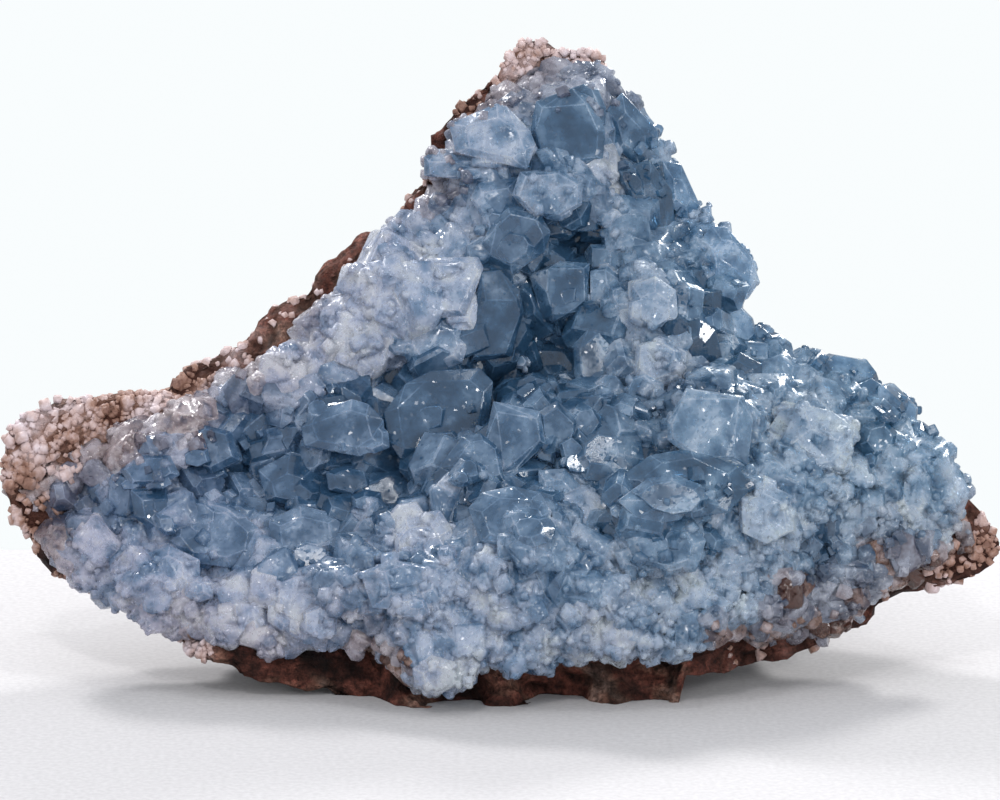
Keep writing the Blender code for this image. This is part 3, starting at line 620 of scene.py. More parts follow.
# The crystals that the piece is known by: how far their face stands out in millimetres, how far it
# points right and up of the viewer in degrees, how milky they are, their outline and their face
BLOCKS = (
    # dome
    (4, -8, 22, 0.6, ((-9.8, 53), (-0.6, 57), (1.3, 56.4), (5.8, 51.8), (6.9, 48.8), (5.2, 44.2),
     (-0.4, 46.5), (-8.6, 47.6)), ((-6.5, 52.6), (-0.4, 54.3), (3.5, 51.6), (4.6, 48), (2.3, 46.5),
     (-5.8, 48.4))),
    # slab
    (3.6, -5, 8, 0.55, ((-0.2, 46.1), (-0.4, 42.8), (-3.8, 42), (-14.6, 43), (-14.6, 46.7),
     (-12.1, 48.2), (-1.9, 48.4)), ((-13.6, 45.7), (-1.2, 45.9), (-1.3, 43.2), (-11.3, 42.8),
     (-13.4, 43.4))),
    # peak block
    (3.5, 4, -6, 0.22, ((6.9, 57.4), (13.8, 59.9), (17.7, 58), (20.2, 51.8), (19.8, 46.1),
     (14.4, 44.5), (7.7, 44.9), (5.8, 51.8)), ((8.1, 56.1), (16.5, 56.8), (18.8, 51.8),
     (18.6, 46.7), (11.5, 45.9), (8.3, 46.7), (6.9, 51.8))),
    # under the slab
    (3.5, 0, 15, 0.5, ((6.7, 39.4), (5.8, 35.5), (1.5, 33.6), (-3.8, 35.5), (-5.8, 38.8),
     (-4.2, 41.7), (3.8, 43)), None),
    # hanging block
    (4, -5, -12, 0.33, ((7.7, 35.7), (9.8, 32.3), (8.6, 28.4), (2.3, 24), (-2.7, 26.5),
     (-3.8, 29.8), (-1.5, 34.2), (1.5, 36.9)), ((6.9, 34.6), (8.3, 31.5), (5, 27.8), (2.1, 25.7),
     (-1.9, 27.8), (-0.8, 33), (1.9, 35.7))),
    # druse block
    (5, 10, 5, 0.55, ((15.9, 41.9), (15.7, 37.4), (11.5, 34.9), (5.8, 35.7), (2.3, 39.4),
     (3.8, 43.8), (11.5, 44.5)), None),
    # back of the hollow
    (1, 0, -5, 0.05, ((23.4, 35.5), (24, 26.5), (17.3, 25.3), (9.2, 26.5), (9.2, 34.2),
     (16.3, 37.4)), None),
    # hollow left
    (3.5, -10, 6, 0.3, ((17.3, 26.3), (16.9, 17.5), (10.2, 15), (8.1, 15.7), (5.6, 24),
     (11.5, 26.7)), ((16.1, 25.3), (16.3, 19.2), (13.1, 16.7), (10.2, 16.5), (9, 20.7),
     (9.4, 25.3))),
    # hollow right
    (4, 22, 2, 0.42, ((20.7, 25.7), (23.4, 23.6), (23.8, 19.2), (21.3, 15.6), (17.3, 18.4),
     (17.3, 24.8)), ((20.2, 25), (22.8, 23.2), (23, 19.4), (21.1, 16.9))),
    # hollow low
    (4.2, 6, 4, 0.32, ((23.8, 15.4), (25, 5.2), (23.4, 2.1), (19.2, 0.4), (14.4, 4), (14, 10.6),
     (16.9, 13.6)), ((23, 13.4), (23.8, 5.8), (22.1, 3.3), (18.8, 2.3), (15.6, 5), (15.4, 10),
     (20.2, 13.6))),
    # dark pillar
    (3.6, -6, -6, 0.14, ((0, 25), (3.8, 21.1), (4.6, 16.9), (2.1, 8.3), (-5.8, 7.1), (-5.6, 16.3),
     (-3.6, 24.6)), ((3.1, 19.2), (3.8, 16.3), (1, 8.8), (-5, 8.4), (-4.6, 15.7), (-2.7, 19.2))),
    # deep block
    (1.5, 0, 10, 0.12, ((14.8, 9.2), (15.2, 2.3), (11.5, -0.4), (0.8, 0.6), (2.7, 5.4), (2.3, 9.6),
     (5.8, 12.1), (11.9, 11.9)), None),
    # small tooth
    (5, -25, 10, 0.4, ((2.3, 9.2), (3.8, 9.8), (5.4, 7.3), (4.8, 5.8), (3.1, 6.1)), None),
    # bright face
    (3.6, -6, 18, 0.72, ((-4.2, 27.5), (-3.1, 25.3), (-6.5, 16.1), (-14.2, 15.6), (-16.3, 21.1),
     (-14.6, 27.3)), ((-5, 26.3), (-4.2, 24.8), (-7.9, 17.3), (-13.4, 16.9), (-15, 21.1),
     (-13.4, 26.1))),
    # below bright face
    (3.2, -4, 6, 0.48, ((-19.6, 14.2), (-11.5, 15.7), (-7.1, 14.4), (-6, 10.6), (-7.3, 7.1),
     (-10.6, 6), (-17.3, 6.9), (-20, 10.6)), None),
    # big dark block
    (2.2, 12, 12, 0.12, ((-3.8, 6.1), (-1.3, 3.5), (-2.5, -7.9), (-5.8, -7.1), (-11.5, -11.7),
     (-19.2, -11.3), (-21.7, -7.7), (-22.3, -2.3), (-18.2, 3.1), (-13.4, 5.6)), ((-3.1, 1.5),
     (-4.2, -5.4), (-11.9, -9.6), (-18.4, -9.2), (-19.6, -1.5), (-14.4, 3.5), (-5.8, 3.8))),
    # valley block
    (3.2, -10, 18, 0.26, ((-38.2, -5.2), (-35.1, -2.1), (-28.4, 0.2), (-25.2, -0.8), (-22.3, -3.8),
     (-21.9, -8.8), (-26.9, -10.9), (-32.6, -10), (-37.6, -8.8)), ((-36.1, -4.6), (-28.8, -1.9),
     (-25.7, -2.9), (-24.6, -7.3), (-27.6, -9), (-34.9, -7.7))),
    # mauve block
    (4.5, 0, 25, 0.3, ((1, -15.7), (-3.5, -16.9), (-8.6, -16.1), (-11.9, -13.1), (-7.3, -6.9),
     (-3.8, -6.3), (-0.4, -8.8)), None),
    # left tooth
    (5, -14, 6, 0.4, ((-1.3, -0.2), (7.7, -2.1), (8.8, -8.4), (1, -15.7), (-3.1, -8.8)),
     ((7.1, -3.5), (7.7, -7.7), (3.6, -10), (0.8, -13.4), (-0.6, -2.3))),
    # right tooth
    (4.5, 10, 0, 0.26, ((10.9, 0), (15.2, -3.8), (14.2, -11.3), (8.6, -9.6), (6.9, -2.5)),
     ((10.9, -1.5), (14.2, -4.6), (13.1, -10), (8.8, -8.3), (8.4, -3.1))),
    # smooth block
    (6.5, 10, 2, 0.44, ((35.7, 2.3), (46.8, 0.8), (48.6, -3.8), (47.6, -12.5), (38.6, -12.5),
     (32.1, -7.7), (32.1, -4)), ((45.9, 0.2), (46.3, -3.8), (44.7, -10.8), (39, -10.9),
     (33.2, -7.3), (33, -4.6), (35.3, 0.2))),
    # wide block
    (3.2, 4, 24, 0.26, ((22.7, -15), (28.8, -10.6), (36.5, -9.2), (45.7, -12.7), (48.4, -16.9),
     (43.8, -21.5), (36.9, -22.7), (29.2, -20.7)), ((26.9, -15.4), (31.1, -12.1), (37.2, -11.1),
     (43.8, -14.2), (44.9, -17.3), (40.7, -19.8), (36.5, -20.4), (30.7, -18.8))),
    # before the wide block
    (3.6, -6, 20, 0.34, ((17.3, -15), (21.5, -11.9), (26.1, -14.2), (26.9, -19.2), (22.7, -21.9),
     (18.4, -20)), None),
    # front dome
    (3.2, 0, 18, 0.42, ((23.4, -25), (29.8, -21.5), (36.5, -23), (39.6, -26.9), (38.4, -31.1),
     (32.6, -33), (25.9, -31.1)), None),
    # left of the front
    (3.2, -12, 22, 0.34, ((-6.1, -20.7), (-3.5, -17.7), (2.3, -16.5), (7.7, -17.7), (10, -21.5),
     (8.6, -26.1), (2.9, -28.4), (-3.8, -27.3)), ((-3.5, -21.5), (0, -18.8), (5.8, -19.2),
     (7.7, -22.3), (6.5, -25.3), (2.7, -26.9), (-1.9, -25.7))),
    # beside it
    (4, 10, 18, 0.38, ((7.3, -13.4), (12.5, -13.1), (16.3, -17.3), (15.4, -23), (10.8, -25.3),
     (7.7, -20.2)), None),
    # frosted front
    (3.6, -12, 20, 0.72, ((-11.5, -21.1), (-9.2, -24.6), (-8.6, -30.7), (-13.4, -33),
     (-19.6, -31.9), (-20.7, -25.3), (-18.2, -22.1)), None),
    # between the blocks
    (3.4, 8, 30, 0.28, ((26.5, -5), (27.8, -11.5), (24, -16.3), (16.3, -15.4), (13.8, -11.9),
     (14.4, -7.7), (19.2, -3.8)), None),
    # mauve low
    (3.4, -8, 10, 0.6, ((-26.9, -33), (-20.2, -30.7), (-13.1, -31.9), (-11.5, -38.4),
     (-16.3, -40.7), (-24.6, -39.9)), None),
    # rim block
    (2.6, -10, 25, 0.42, ((-63, -20.2), (-59.5, -18.6), (-51.8, -20.2), (-46.1, -24.6),
     (-46.7, -30), (-51.8, -32.3), (-59.5, -31.1), (-63.7, -26.9)), ((-60.7, -21.5), (-52.6, -21.7),
     (-48.4, -25.3), (-49, -28.8), (-52.6, -30.1), (-58.8, -29.2), (-61.4, -26.1))),
    # wing block
    (4, 6, 12, 0.3, ((-71, -17.1), (-64.1, -16.7), (-62.6, -20.4), (-63.4, -24.4), (-67.2, -25),
     (-70.3, -22.3)), None),
    # valley left
    (3.5, -6, 22, 0.24, ((-61.8, -7.7), (-56.6, -4.8), (-51.5, -6.1), (-49.9, -11.5),
     (-55.3, -14.2), (-61.1, -12.7)), None),
    # valley far left
    (3.5, -12, 15, 0.35, ((-73, -13.4), (-69.1, -10.6), (-63.4, -10.6), (-61.4, -14.4),
     (-65.3, -16.5), (-71, -16.5)), None),
    # valley mid
    (4.5, 6, 28, 0.22, ((-46.5, -13.4), (-40.3, -10), (-34.2, -11.9), (-32.6, -17.7),
     (-38.4, -20.7), (-44.9, -19.2)), None),
    # valley low
    (4.5, -4, 25, 0.34, ((-44.5, -23), (-38.4, -20.2), (-30.3, -22.1), (-28.8, -28.4),
     (-36.5, -31.1), (-43.8, -29.2)), None),
    # valley right
    (4, 10, 30, 0.22, ((-29.8, -15), (-22.7, -11.9), (-15.4, -13.4), (-13.8, -20.2), (-20.7, -23.4),
     (-28.8, -21.1)), None),
    # left frosted
    (3, -8, 15, 0.55, ((-69.1, -29.8), (-63.4, -27.8), (-57.6, -30.7), (-57.6, -36.5),
     (-63.7, -38.4), (-69.1, -35.5)), None),
    # low left b
    (2.8, 4, 6, 0.72, ((-44.5, -35.5), (-38.4, -33), (-32.3, -35.5), (-32.6, -44.2), (-38.4, -46.1),
     (-44.5, -42.6)), None),
    # frosted dome
    (3.4, -6, 14, 0.74, ((51.3, -5.8), (53.8, -2.1), (58, -0.8), (63.7, -2.1), (67.6, -5),
     (67.8, -9.8), (65.3, -12.9), (58, -14.2), (52.8, -12.9)), None),
    # edge bulge
    (4.5, 16, 2, 0.5, ((40.7, 33.4), (43.6, 33.2), (48.4, 27.3), (49.9, 22.7), (47.6, 19.4),
     (43.4, 18), (40.7, 21.1), (38.4, 30.7)), None),
    # edge upper
    (4, 25, -8, 0.3, ((23.4, 59.1), (30.3, 51.8), (30.7, 46.5), (26.9, 44.5), (22.7, 48),
     (20.4, 55.7)), None),
    # edge dark
    (3.5, 20, -4, 0.1, ((22.7, 44.5), (28.8, 46.1), (33, 40.3), (33.8, 32.6), (28.8, 31.1),
     (24.6, 37.4)), None),
    # edge tall
    (3, 30, 8, 0.35, ((31.1, 45.9), (34.8, 45.3), (38.4, 37.4), (36.5, 34.2), (32.3, 37.4)), None),
    # edge small
    (3.5, 30, 10, 0.55, ((40.5, 37.8), (40.9, 33.4), (38.8, 33.4), (38.6, 36.9)), None),
    # clear knob
    (4.5, 16, 8, 0.38, ((46.3, 18), (48.6, 15.7), (49.5, 11.9), (47, 9.6), (43.4, 10.8),
     (42.6, 14.2), (43.6, 17.1)), None),
    # dark well
    (3, 8, -10, 0.04, ((33.8, 14.4), (38.4, 15.7), (41.5, 13.4), (42.6, 8.1), (39.9, 6.1),
     (35.3, 8.4)), None),
    # well top
    (3, 0, -6, 0.06, ((34.9, 21.9), (42.6, 21.1), (42.6, 16.1), (38.8, 15.4), (34.9, 16.9)), None),
    # behind smooth block
    (3, 6, 2, 0.16, ((42.2, 6.5), (46.1, 9.2), (50.3, 6.9), (50.3, -0.4), (45.3, -0.8),
     (42.2, 1.5)), None),
    # right shoulder a
    (4.5, 10, 22, 0.52, ((54.7, 9.2), (58, 6.5), (57.2, 1.5), (52.8, 0), (49.9, 2.9), (50.3, 7.7)),
     None),
    # right shoulder b
    (4.5, 12, 25, 0.4, ((66.2, 7.7), (67.6, 3.5), (63.4, 0.4), (58.8, 1.2), (58, 5.4), (61.8, 8.8)),
     None),
    # right shoulder c
    (4, 18, 25, 0.3, ((67.2, 2.3), (71.4, 4.2), (75.3, 1.9), (75.3, -2.3), (70.7, -3.8),
     (67.2, -1.5)), None),
    # right shoulder d
    (4, 20, 20, 0.34, ((74.5, 0), (77.8, 1), (80.3, -1.5), (79.9, -5), (76.4, -5.8), (74.1, -3.5)),
     None),
    # wing clear
    (4, 6, 18, 0.3, ((69.5, -4.8), (73.9, -3.5), (76.8, -6.7), (75.8, -11.1), (71, -11.9),
     (68.2, -8.8)), None),
    # strip
    (4.5, 2, 8, 0.66, ((25.3, 22.1), (29.8, 23.8), (33.8, 21.1), (34.2, 15.7), (29.8, 13.4),
     (25.3, 15.7)), None),
    # strip low
    (4.5, -4, 10, 0.7, ((26.1, 10.6), (30.7, 11.9), (34.9, 9.2), (34.6, 3.8), (29.8, 1.9),
     (25.7, 4.8)), None),
    # round knob
    (5, -8, 14, 0.52, ((31.5, 3.1), (31.5, -0.8), (27.8, -2.7), (24.6, -1.9), (23.4, 0.8),
     (25, 4.2), (28.4, 5.4)), None),
    # front right
    (3.4, 8, 14, 0.72, ((45.7, -18.2), (50.9, -15.7), (55.7, -18.2), (56.6, -25), (51.5, -27.8),
     (46.1, -25.3)), None),
    # lobe
    (3.5, -4, -12, 0.85, ((-16.9, -51.5), (-13.1, -49), (-8.4, -50.3), (-8.1, -54.5), (-12.3, -57),
     (-16.1, -55.3)), None),
)

# Where iron ran into cracks of the crust: from across, up to across, up, how wide, how much
STAINS = (
    (55.5, -36.0, 56.5, -37.0, 1.8, 1.5), (62.0, -43.2, 67.0, -44.4, 2.4, 1.5),
    (70.5, -27.5, 75.5, -32.0, 1.6, 1.1), (75.0, -36.5, 89.5, -27.8, 1.8, 1.2),
    (42.5, -44.5, 49.0, -46.5, 3.0, 0.9),
    (58.0, -36.0, 60.5, -45.0, 1.0, 0.7), (66.0, -38.0, 75.0, -38.5, 1.4, 0.8),
    (-44.0, -51.5, -19.0, -50.5, 1.8, 1.3), (-26.0, -46.5, -20.0, -52.0, 1.8, 1.0),
    (-66.0, -42.5, -53.0, -49.5, 1.2, 1.0), (48.5, -45.5, 61.0, -42.0, 1.4, 1.0),
)


chance = random.Random(SEED)
draw = np.random.default_rng(SEED)


def crust_bed(across, up):
    """The bed that the crystals grow from."""
    return crystal_face(across, up) + BED_DEPTH


def crust_back(across, up):
    """The inner side of the crust's solid, which lies in the rock until it is fitted to it."""
    return rock_face(across, up) + BED_BACK


def rust_at(across, up):
    """How much rust the water left at places on the drawing."""
    rust = relief(GROWTH, across, up, 5)
    for x, y, end_x, end_y, width, most in STAINS:
        run = np.array([end_x - x, end_y - y])
        along = ((across - x) * run[0] + (up - y) * run[1]) / (run @ run)
        along = np.clip(along, 0, 1)
        away = np.hypot(across - x - along * run[0], up - y - along * run[1])
        rust = np.maximum(rust, most * np.clip(STAIN_END - away / width, 0, 1))
    return rust


def rimmed(bm, width):
    """Bevels the edges of a crystal and paints the narrow new faces milkier, as a painted
    highlight.
    """
    bm.faces.layers.float.new("milk")
    rims = bmesh.ops.bevel(
        bm, geom=bm.edges[:], offset=width, offset_type="OFFSET", segments=1, profile=0.5,
        affect="EDGES", clamp_overlap=True, material=-1,
    )["faces"]
    milky = bm.faces.layers.float["milk"]
    for face in rims:
        face[milky] = EDGE_HIGHLIGHT_MILK


def grown_mesh(bm, milk):
    """The mesh of a crystal, whose faces know how milky and how rusty it is."""
    for name in ("milk", "rust"):
        if name not in bm.faces.layers.float:
            bm.faces.layers.float.new(name)
    milky = bm.faces.layers.float["milk"]
    for face in bm.faces:
        face[milky] += milk
    mesh = bpy.data.meshes.new("crystal")
    bm.to_mesh(mesh)
    bm.free()
    return mesh


def block(form, proud, right, rise, outline, face):
    """A crystal as the drawing shows it: a flat face, slopes around it and a root in the crust."""
    middle = np.mean(outline, axis=0)
    near = form.side(*middle, form.share(*middle), True) - BED_DEPTH
    tilt = np.tan(np.radians([right, rise]))
    corners = np.array(outline)
    if face is None:
        sizes = np.ptp(corners, axis=0)
        shift = [chance.uniform(-FACE_SHIFT, FACE_SHIFT) * size for size in sizes]
        face = middle + shift + (corners - middle) * chance.uniform(*FACE_SHARE)
    rings = (
        (np.array(face), 1.0, -proud),
        (corners, SLOPE_LEAN, -proud + chance.uniform(*SLOPE_DROP)),
        (middle + (corners - middle) * ROOT_SHARE, 0.0, ROOT_DEPTH),
    )
    bm = bmesh.new()
    for ring, share, step in rings:
        behind = near + step + share * ((ring - middle) @ tilt)
        for place in world(ring[:, 0], behind, ring[:, 1]):
            bm.verts.new(place)
    hull = bmesh.ops.convex_hull(bm, input=bm.verts)
    spare = {item for item in hull["geom_interior"] + hull["geom_unused"]
             if isinstance(item, bmesh.types.BMVert)}
    bmesh.ops.delete(bm, geom=list(spare), context="VERTS")
    bmesh.ops.dissolve_limit(
        bm, angle_limit=FLAT_ANGLE, verts=bm.verts[:], edges=bm.edges[:],
        use_dissolve_boundaries=False, delimit=set(),
    )
    bmesh.ops.recalc_face_normals(bm, faces=bm.faces)
    rimmed(bm, EDGE * MM)
    return bm


crust_form = Form(CRUST_OUTLINE, crust_bed, crust_back)
bed = warped(crust_form, BED_DETAIL, BED_LUMPS)
for name in ("milk", "rust"):
    bed.faces.layers.float.new(name)
milky, rusty = (bed.faces.layers.float[name] for name in ("milk", "rust"))
across, up = drawn([face.calc_center_median() for face in bed.faces])[:2]
bed_milk, bed_rust = relief(GROWTH, across, up, 3), rust_at(across, up)
for face, milk, rust in zip(bed.faces, bed_milk, bed_rust):
    face[milky], face[rusty] = milk, rust
crystals = piece("celestite_crystals", bed)
grown = []
for proud, right, rise, milk, outline, face in BLOCKS:
    grown.append(grown_mesh(block(crust_form, proud, right, rise, outline, face), milk))
    middle = np.mean(outline, axis=0)
    for _ in range(BESIDE if proud < ALONE else 0):
        share = chance.uniform(*BESIDE_AWAY)
        corner = middle + (np.array(chance.choice(outline)) - middle) * share
        if crust_form.share(*corner) > CRUST_RIM:
            continue
        size = chance.uniform(*BESIDE_SHARE)
        smaller = tuple(tuple(corner + (np.array(point) - middle) * size) for point in outline)
        out = proud * chance.uniform(*BESIDE_PROUD)
        out += chance.uniform(*BESIDE_STEP) * (1 - share)
        out -= (corner - middle) @ np.tan(np.radians([right, rise])) * BESIDE_LEAN
        tilt = (right + chance.gauss(0, BESIDE_TILT), rise + chance.gauss(0, BESIDE_TILT))
        beside = block(crust_form, out, *tilt, smaller, None)
        grown.append(grown_mesh(beside, milk + chance.gauss(*BESIDE_MILK)))


# The crystals between them
# Smaller crystals of the same kind fill the crust between the large ones. Each is rooted in the
# bed, the milkier ones deeper, and neighbours turn much the same way, as they grew side by side.
FILLINGS, CLEAR_FILLINGS = 60, 20
FILLING_TRIES, FILLING_SPACING = 16000, 0.43
FILLING_WIDTH = (0.7, 1.45)
FILLING_SWAY = 0.22
FROST_SINK = 0.2
TURN_REACH, TURN_SPREAD = 0.02, 0.25

# Crystals milkier than this have fused: they lack sharp edges, and light rounds their faces
FUSED = 0.42

# None starts in the core of a large crystal, or where the bed stands out of the rock by less than
# this. Neighbours are looked for in cells of this size, in metres
CORE = 0.75
OVER_ROCK = 0.5 * MM
CELL = 0.004

# One of them, in shares of its width: its bevelled edges, its root, the corners cut from it and
# how those face, and the slopes of its roof
FILLING_EDGE = 0.03
FILLING_ROOT = 0.45
CORNER_SHARE, CORNER_TURN = (0.08, 0.4), (0.6, 1.6)
ROOF_SLOPE, END_SLOPE, END_SHARE = (0.7, 1.3), (0.8, 1.4), (0.4, 0.9)


def crystal(height, length, roof, corners=4):
    """A blocky prism along +Z, of unit width, with some of its corners cut and a sloped roof."""
    bm = bmesh.new()
    bmesh.ops.create_cube(bm, size=1.0)
    root = max(1.0, height) * FILLING_ROOT
    for vert in bm.verts:
        vert.co.y *= height
        vert.co.z = length if vert.co.z > 0 else -root
    for side, ahead in ((1, 1), (-1, -1), (1, -1), (-1, 1))[:corners]:
        corner = min(1.0, height) * chance.uniform(*CORNER_SHARE)
        edge = Vector((side * (0.5 - corner), ahead * height / 2, 0))
        cut(bm, edge, Vector((side, ahead * chance.uniform(*CORNER_TURN), 0)))
    for side in (1, -1):
        edge = Vector((side * 0.5 * (1 - roof), 0, length))
        cut(bm, edge, Vector((side, 0, chance.uniform(*ROOF_SLOPE))))
        edge = Vector((0, side * height / 2 * (1 - roof * chance.uniform(*END_SHARE)), length))
        cut(bm, edge, Vector((0, side, chance.uniform(*END_SLOPE))))
    bmesh.ops.recalc_face_normals(bm, faces=bm.faces)
    return bm


def crystal_shapes(number, heights, lengths, roofs, corners=4):
    """Crystals of unit width, whose other sizes lie between two values each."""
    ranges = (heights, lengths, roofs)
    return [
        crystal(*[chance.uniform(*reach) for reach in ranges], corners) for _ in range(number)
    ]


def inside(outline, across, up):
    """Whether places on the drawing lie inside an outline."""
    found = np.zeros(np.shape(across), bool)
    for (x, y), (next_x, next_y) in zip(outline, outline[1:] + outline[:1]):
        if y != next_y:
            crosses = (y > up) != (next_y > up)
            found ^= crosses & (across < (next_x - x) * (up - y) / (next_y - y) + x)
    return found


def face_values(mesh, name):
    """The values of an attribute of a mesh's faces, or zeros where it has none."""
    values = np.zeros(len(mesh.polygons))
    if name in mesh.attributes:
        mesh.attributes[name].data.foreach_get("value", values)
    return values


def scattered(mesh, tries, spacing, size_of):
    """Places spread over a mesh and kept apart: each with its normal, size and how milky it is."""
    mesh.calc_loop_triangles()
    spots = np.array([vert.co for vert in mesh.vertices])
    corners = spots[[tri.vertices[:] for tri in mesh.loop_triangles]]
    normals = np.array([tri.normal for tri in mesh.loop_triangles])
    areas = np.array([tri.area for tri in mesh.loop_triangles])
    picks = draw.choice(len(areas), tries, p=areas / areas.sum())
    first, second = draw.random(tries), draw.random(tries)
    over = first + second > 1
    first[over], second[over] = 1 - first[over], 1 - second[over]
    a, b, c = corners[picks].transpose(1, 0, 2)
    places = a + (b - a) * first[:, None] + (c - a) * second[:, None]
    sizes = size_of(places)
    milk = face_values(mesh, "milk")
    milk = milk[[mesh.loop_triangles[pick].polygon_index for pick in picks]]
    kept, grid = [], {}
    for place, normal, size, below in zip(places, normals[picks], sizes, milk):
        if size <= 0:
            continue
        x, y, z = (place // CELL).astype(int)
        near = [
            other for i in (-1, 0, 1) for j in (-1, 0, 1) for k in (-1, 0, 1)
            for other in grid.get((x + i, y + j, z + k), ())
        ]
        if any(math.dist(place, other) < spacing * (size + wide) / 2 for other, wide in near):
            continue
        grid.setdefault((x, y, z), []).append((place, size))
        kept.append((Vector(place), Vector(normal), size, below))
    return kept


def standing(place, aim, turn, size):
    """The matrix that stands a crystal of unit size at a place, pointing one way and turned."""
    stand = aim.normalized().to_track_quat("Z", "Y").to_matrix().to_4x4()
    spin = Matrix.Rotation(turn, 4, "Z")
    return Matrix.Translation(place) @ stand @ spin @ Matrix.Scale(size, 4)


def set_on(spots, templates, sink, sway, spread):
    """The meshes of crystals of unit size set on spots, each rooted in what it stands on."""
    made = []
    for place, normal, size, milk in spots:
        across, up = drawn([place])[:2]
        mesh = chance.choice(templates).copy()
        more = {"milk": milk + chance.gauss(0, spread), "rust": rust_at(across, up)[0]}
        for name, value in more.items():
            values = (face_values(mesh, name) + np.float32(value)).astype(np.float32)
            mesh.attributes[name].data.foreach_set("value", values)
        aim = (normal + Vector([chance.uniform(-sway, sway) for _ in range(3)])).normalized()
        turn = math.tau * noise.noise(place / TURN_REACH) + chance.gauss(0, TURN_SPREAD)
        rooted = place - aim * size * (sink + FROST_SINK * milk)
        mesh.transform(standing(rooted, aim, turn, size))
        made.append(mesh)
    return made


def joined(base, others, operation):
    """Joins meshes to an object, or cuts them from it, and gives it the new mesh."""
    group = bpy.data.collections.new("others")
    scene.collection.children.link(group)
    for mesh in others:
        group.objects.link(bpy.data.objects.new("other", mesh))
    step = base.modifiers.new("join", "BOOLEAN")
    step.operation = operation
    step.operand_type = "COLLECTION"
    step.collection = group
    step.solver = "MANIFOLD"
    graph = bpy.context.evaluated_depsgraph_get()
    mesh = bpy.data.meshes.new_from_object(base.evaluated_get(graph))
    for other in list(group.objects):
        bpy.data.objects.remove(other, do_unlink=True)
    bpy.data.collections.remove(group)
    base.modifiers.clear()
    base.data = mesh


rock_tree = BVHTree.FromPolygons(
    [vert.co for vert in geode_wall.data.vertices],
    [face.vertices for face in geode_wall.data.polygons],
)


def over_rock(places):
    """How far, in metres, places stand out of the rock."""
    found = [rock_tree.find_nearest(place) for place in places]
    return np.array([(Vector(place) - hit[0]).dot(hit[1]) for place, hit in zip(places, found)])


def filling_size(places):
    """How wide, in metres, the crystals between the blocks are at places on the bed."""
    across, up = drawn(places)[:2]
    size = relief(GROWTH, across, up, 2) * draw.uniform(*FILLING_WIDTH, len(across))
    taken = np.zeros(len(across), bool)
    for item in BLOCKS:
        middle = np.mean(item[4], axis=0)
        core = [tuple(middle + (np.array(point) - middle) * CORE) for point in item[4]]
        taken |= inside(core, across, up)
    return np.where(taken | (over_rock(places) < OVER_ROCK), 0.0, size * MM)


shapes = crystal_shapes(FILLINGS, (0.6, 1.3), (0.35, 0.7), (0.25, 0.8))
# The clear ones get bevelled edges, painted milkier as a painted highlight
for shape in shapes[:CLEAR_FILLINGS]:
    rimmed(shape, FILLING_EDGE)
fillings = [grown_mesh(shape, 0.0) for shape in shapes]
spots = scattered(crystals.data, FILLING_TRIES, FILLING_SPACING, filling_size)
clear = [spot for spot in spots if spot[3] < FUSED]
milky = [spot for spot in spots if spot[3] >= FUSED]
grown += set_on(clear, fillings[:CLEAR_FILLINGS], 0.0, FILLING_SWAY, 0.10)
grown += set_on(milky, fillings[CLEAR_FILLINGS:], 0.0, FILLING_SWAY, 0.06)
joined(crystals, grown, "UNION")


# The fine crystals
# Crystals one to two millimetres wide grew last, on the crust's rims and on its front, where they
# look like sugar. With them the crust is whole, and it is cut to leave the rock its room.
FINE_SHAPES = 24
FINE_TRIES, FINE_SPACING = 30000, 0.75
FINE_WIDTH, FINE_WIDER = (0.9, 1.8), 1.8
FINE_COVER, FINE_FADE, FINE_PATCHES = 0.26, 1.6, 1.8
FINE_PATCH = 0.006
FINE_OVER_ROCK = 0.9 * MM
FINE_SINK, FINE_SWAY, FINE_SPREAD = 0.15, 0.3, 0.04

# The gap to the rock in millimetres, and the share of the rock's faces that is enough to cut it
SEAM = 0.4
ROOM_FACES = 0.25


def fine_size(places):
    """How wide, in metres, the fine crystals are at places on the crust, or 0 for none."""
    across, up = drawn(places)[:2]
    cover = relief(GROWTH, across, up, 4)
    shade = np.array([noise.noise(Vector(place) / FINE_PATCH) for place in places])
    likely = FINE_COVER * cover ** FINE_FADE * (1 + FINE_PATCHES * shade)
    taken = draw.random(len(across)) < likely
    size = draw.uniform(*FINE_WIDTH, len(across)) + FINE_WIDER * draw.random(len(across)) ** 3
    return np.where(taken & (over_rock(places) > FINE_OVER_ROCK), size * MM, 0.0)


shapes = crystal_shapes(FINE_SHAPES, (0.7, 1.1), (0.4, 0.8), (0.4, 0.8), corners=2)
small = [grown_mesh(shape, 0.0) for shape in shapes]
spots = scattered(crystals.data, FINE_TRIES, FINE_SPACING, fine_size)
joined(crystals, set_on(spots, small, FINE_SINK, FINE_SWAY, FINE_SPREAD), "UNION")

room = bpy.data.objects.new("room for the rock", geode_wall.data.copy())
scene.collection.objects.link(room)
fewer = room.modifiers.new("fewer faces", "DECIMATE")
fewer.ratio = ROOM_FACES
graph = bpy.context.evaluated_depsgraph_get()
room_bm = bmesh.new()
room_bm.from_mesh(bpy.data.meshes.new_from_object(room.evaluated_get(graph)))
bpy.data.objects.remove(room, do_unlink=True)
room_bm.normal_update()
for vert in room_bm.verts:
    vert.co += vert.normal * SEAM * MM
room_mesh = bpy.data.meshes.new("room for the rock")
room_bm.to_mesh(room_mesh)
room_bm.free()
joined(crystals, [room_mesh], "DIFFERENCE")
smooth = face_values(crystals.data, "milk") > FUSED
crystals.data.polygons.foreach_set("use_smooth", smooth)
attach(crystals, "root")
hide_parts("crystal_crust")

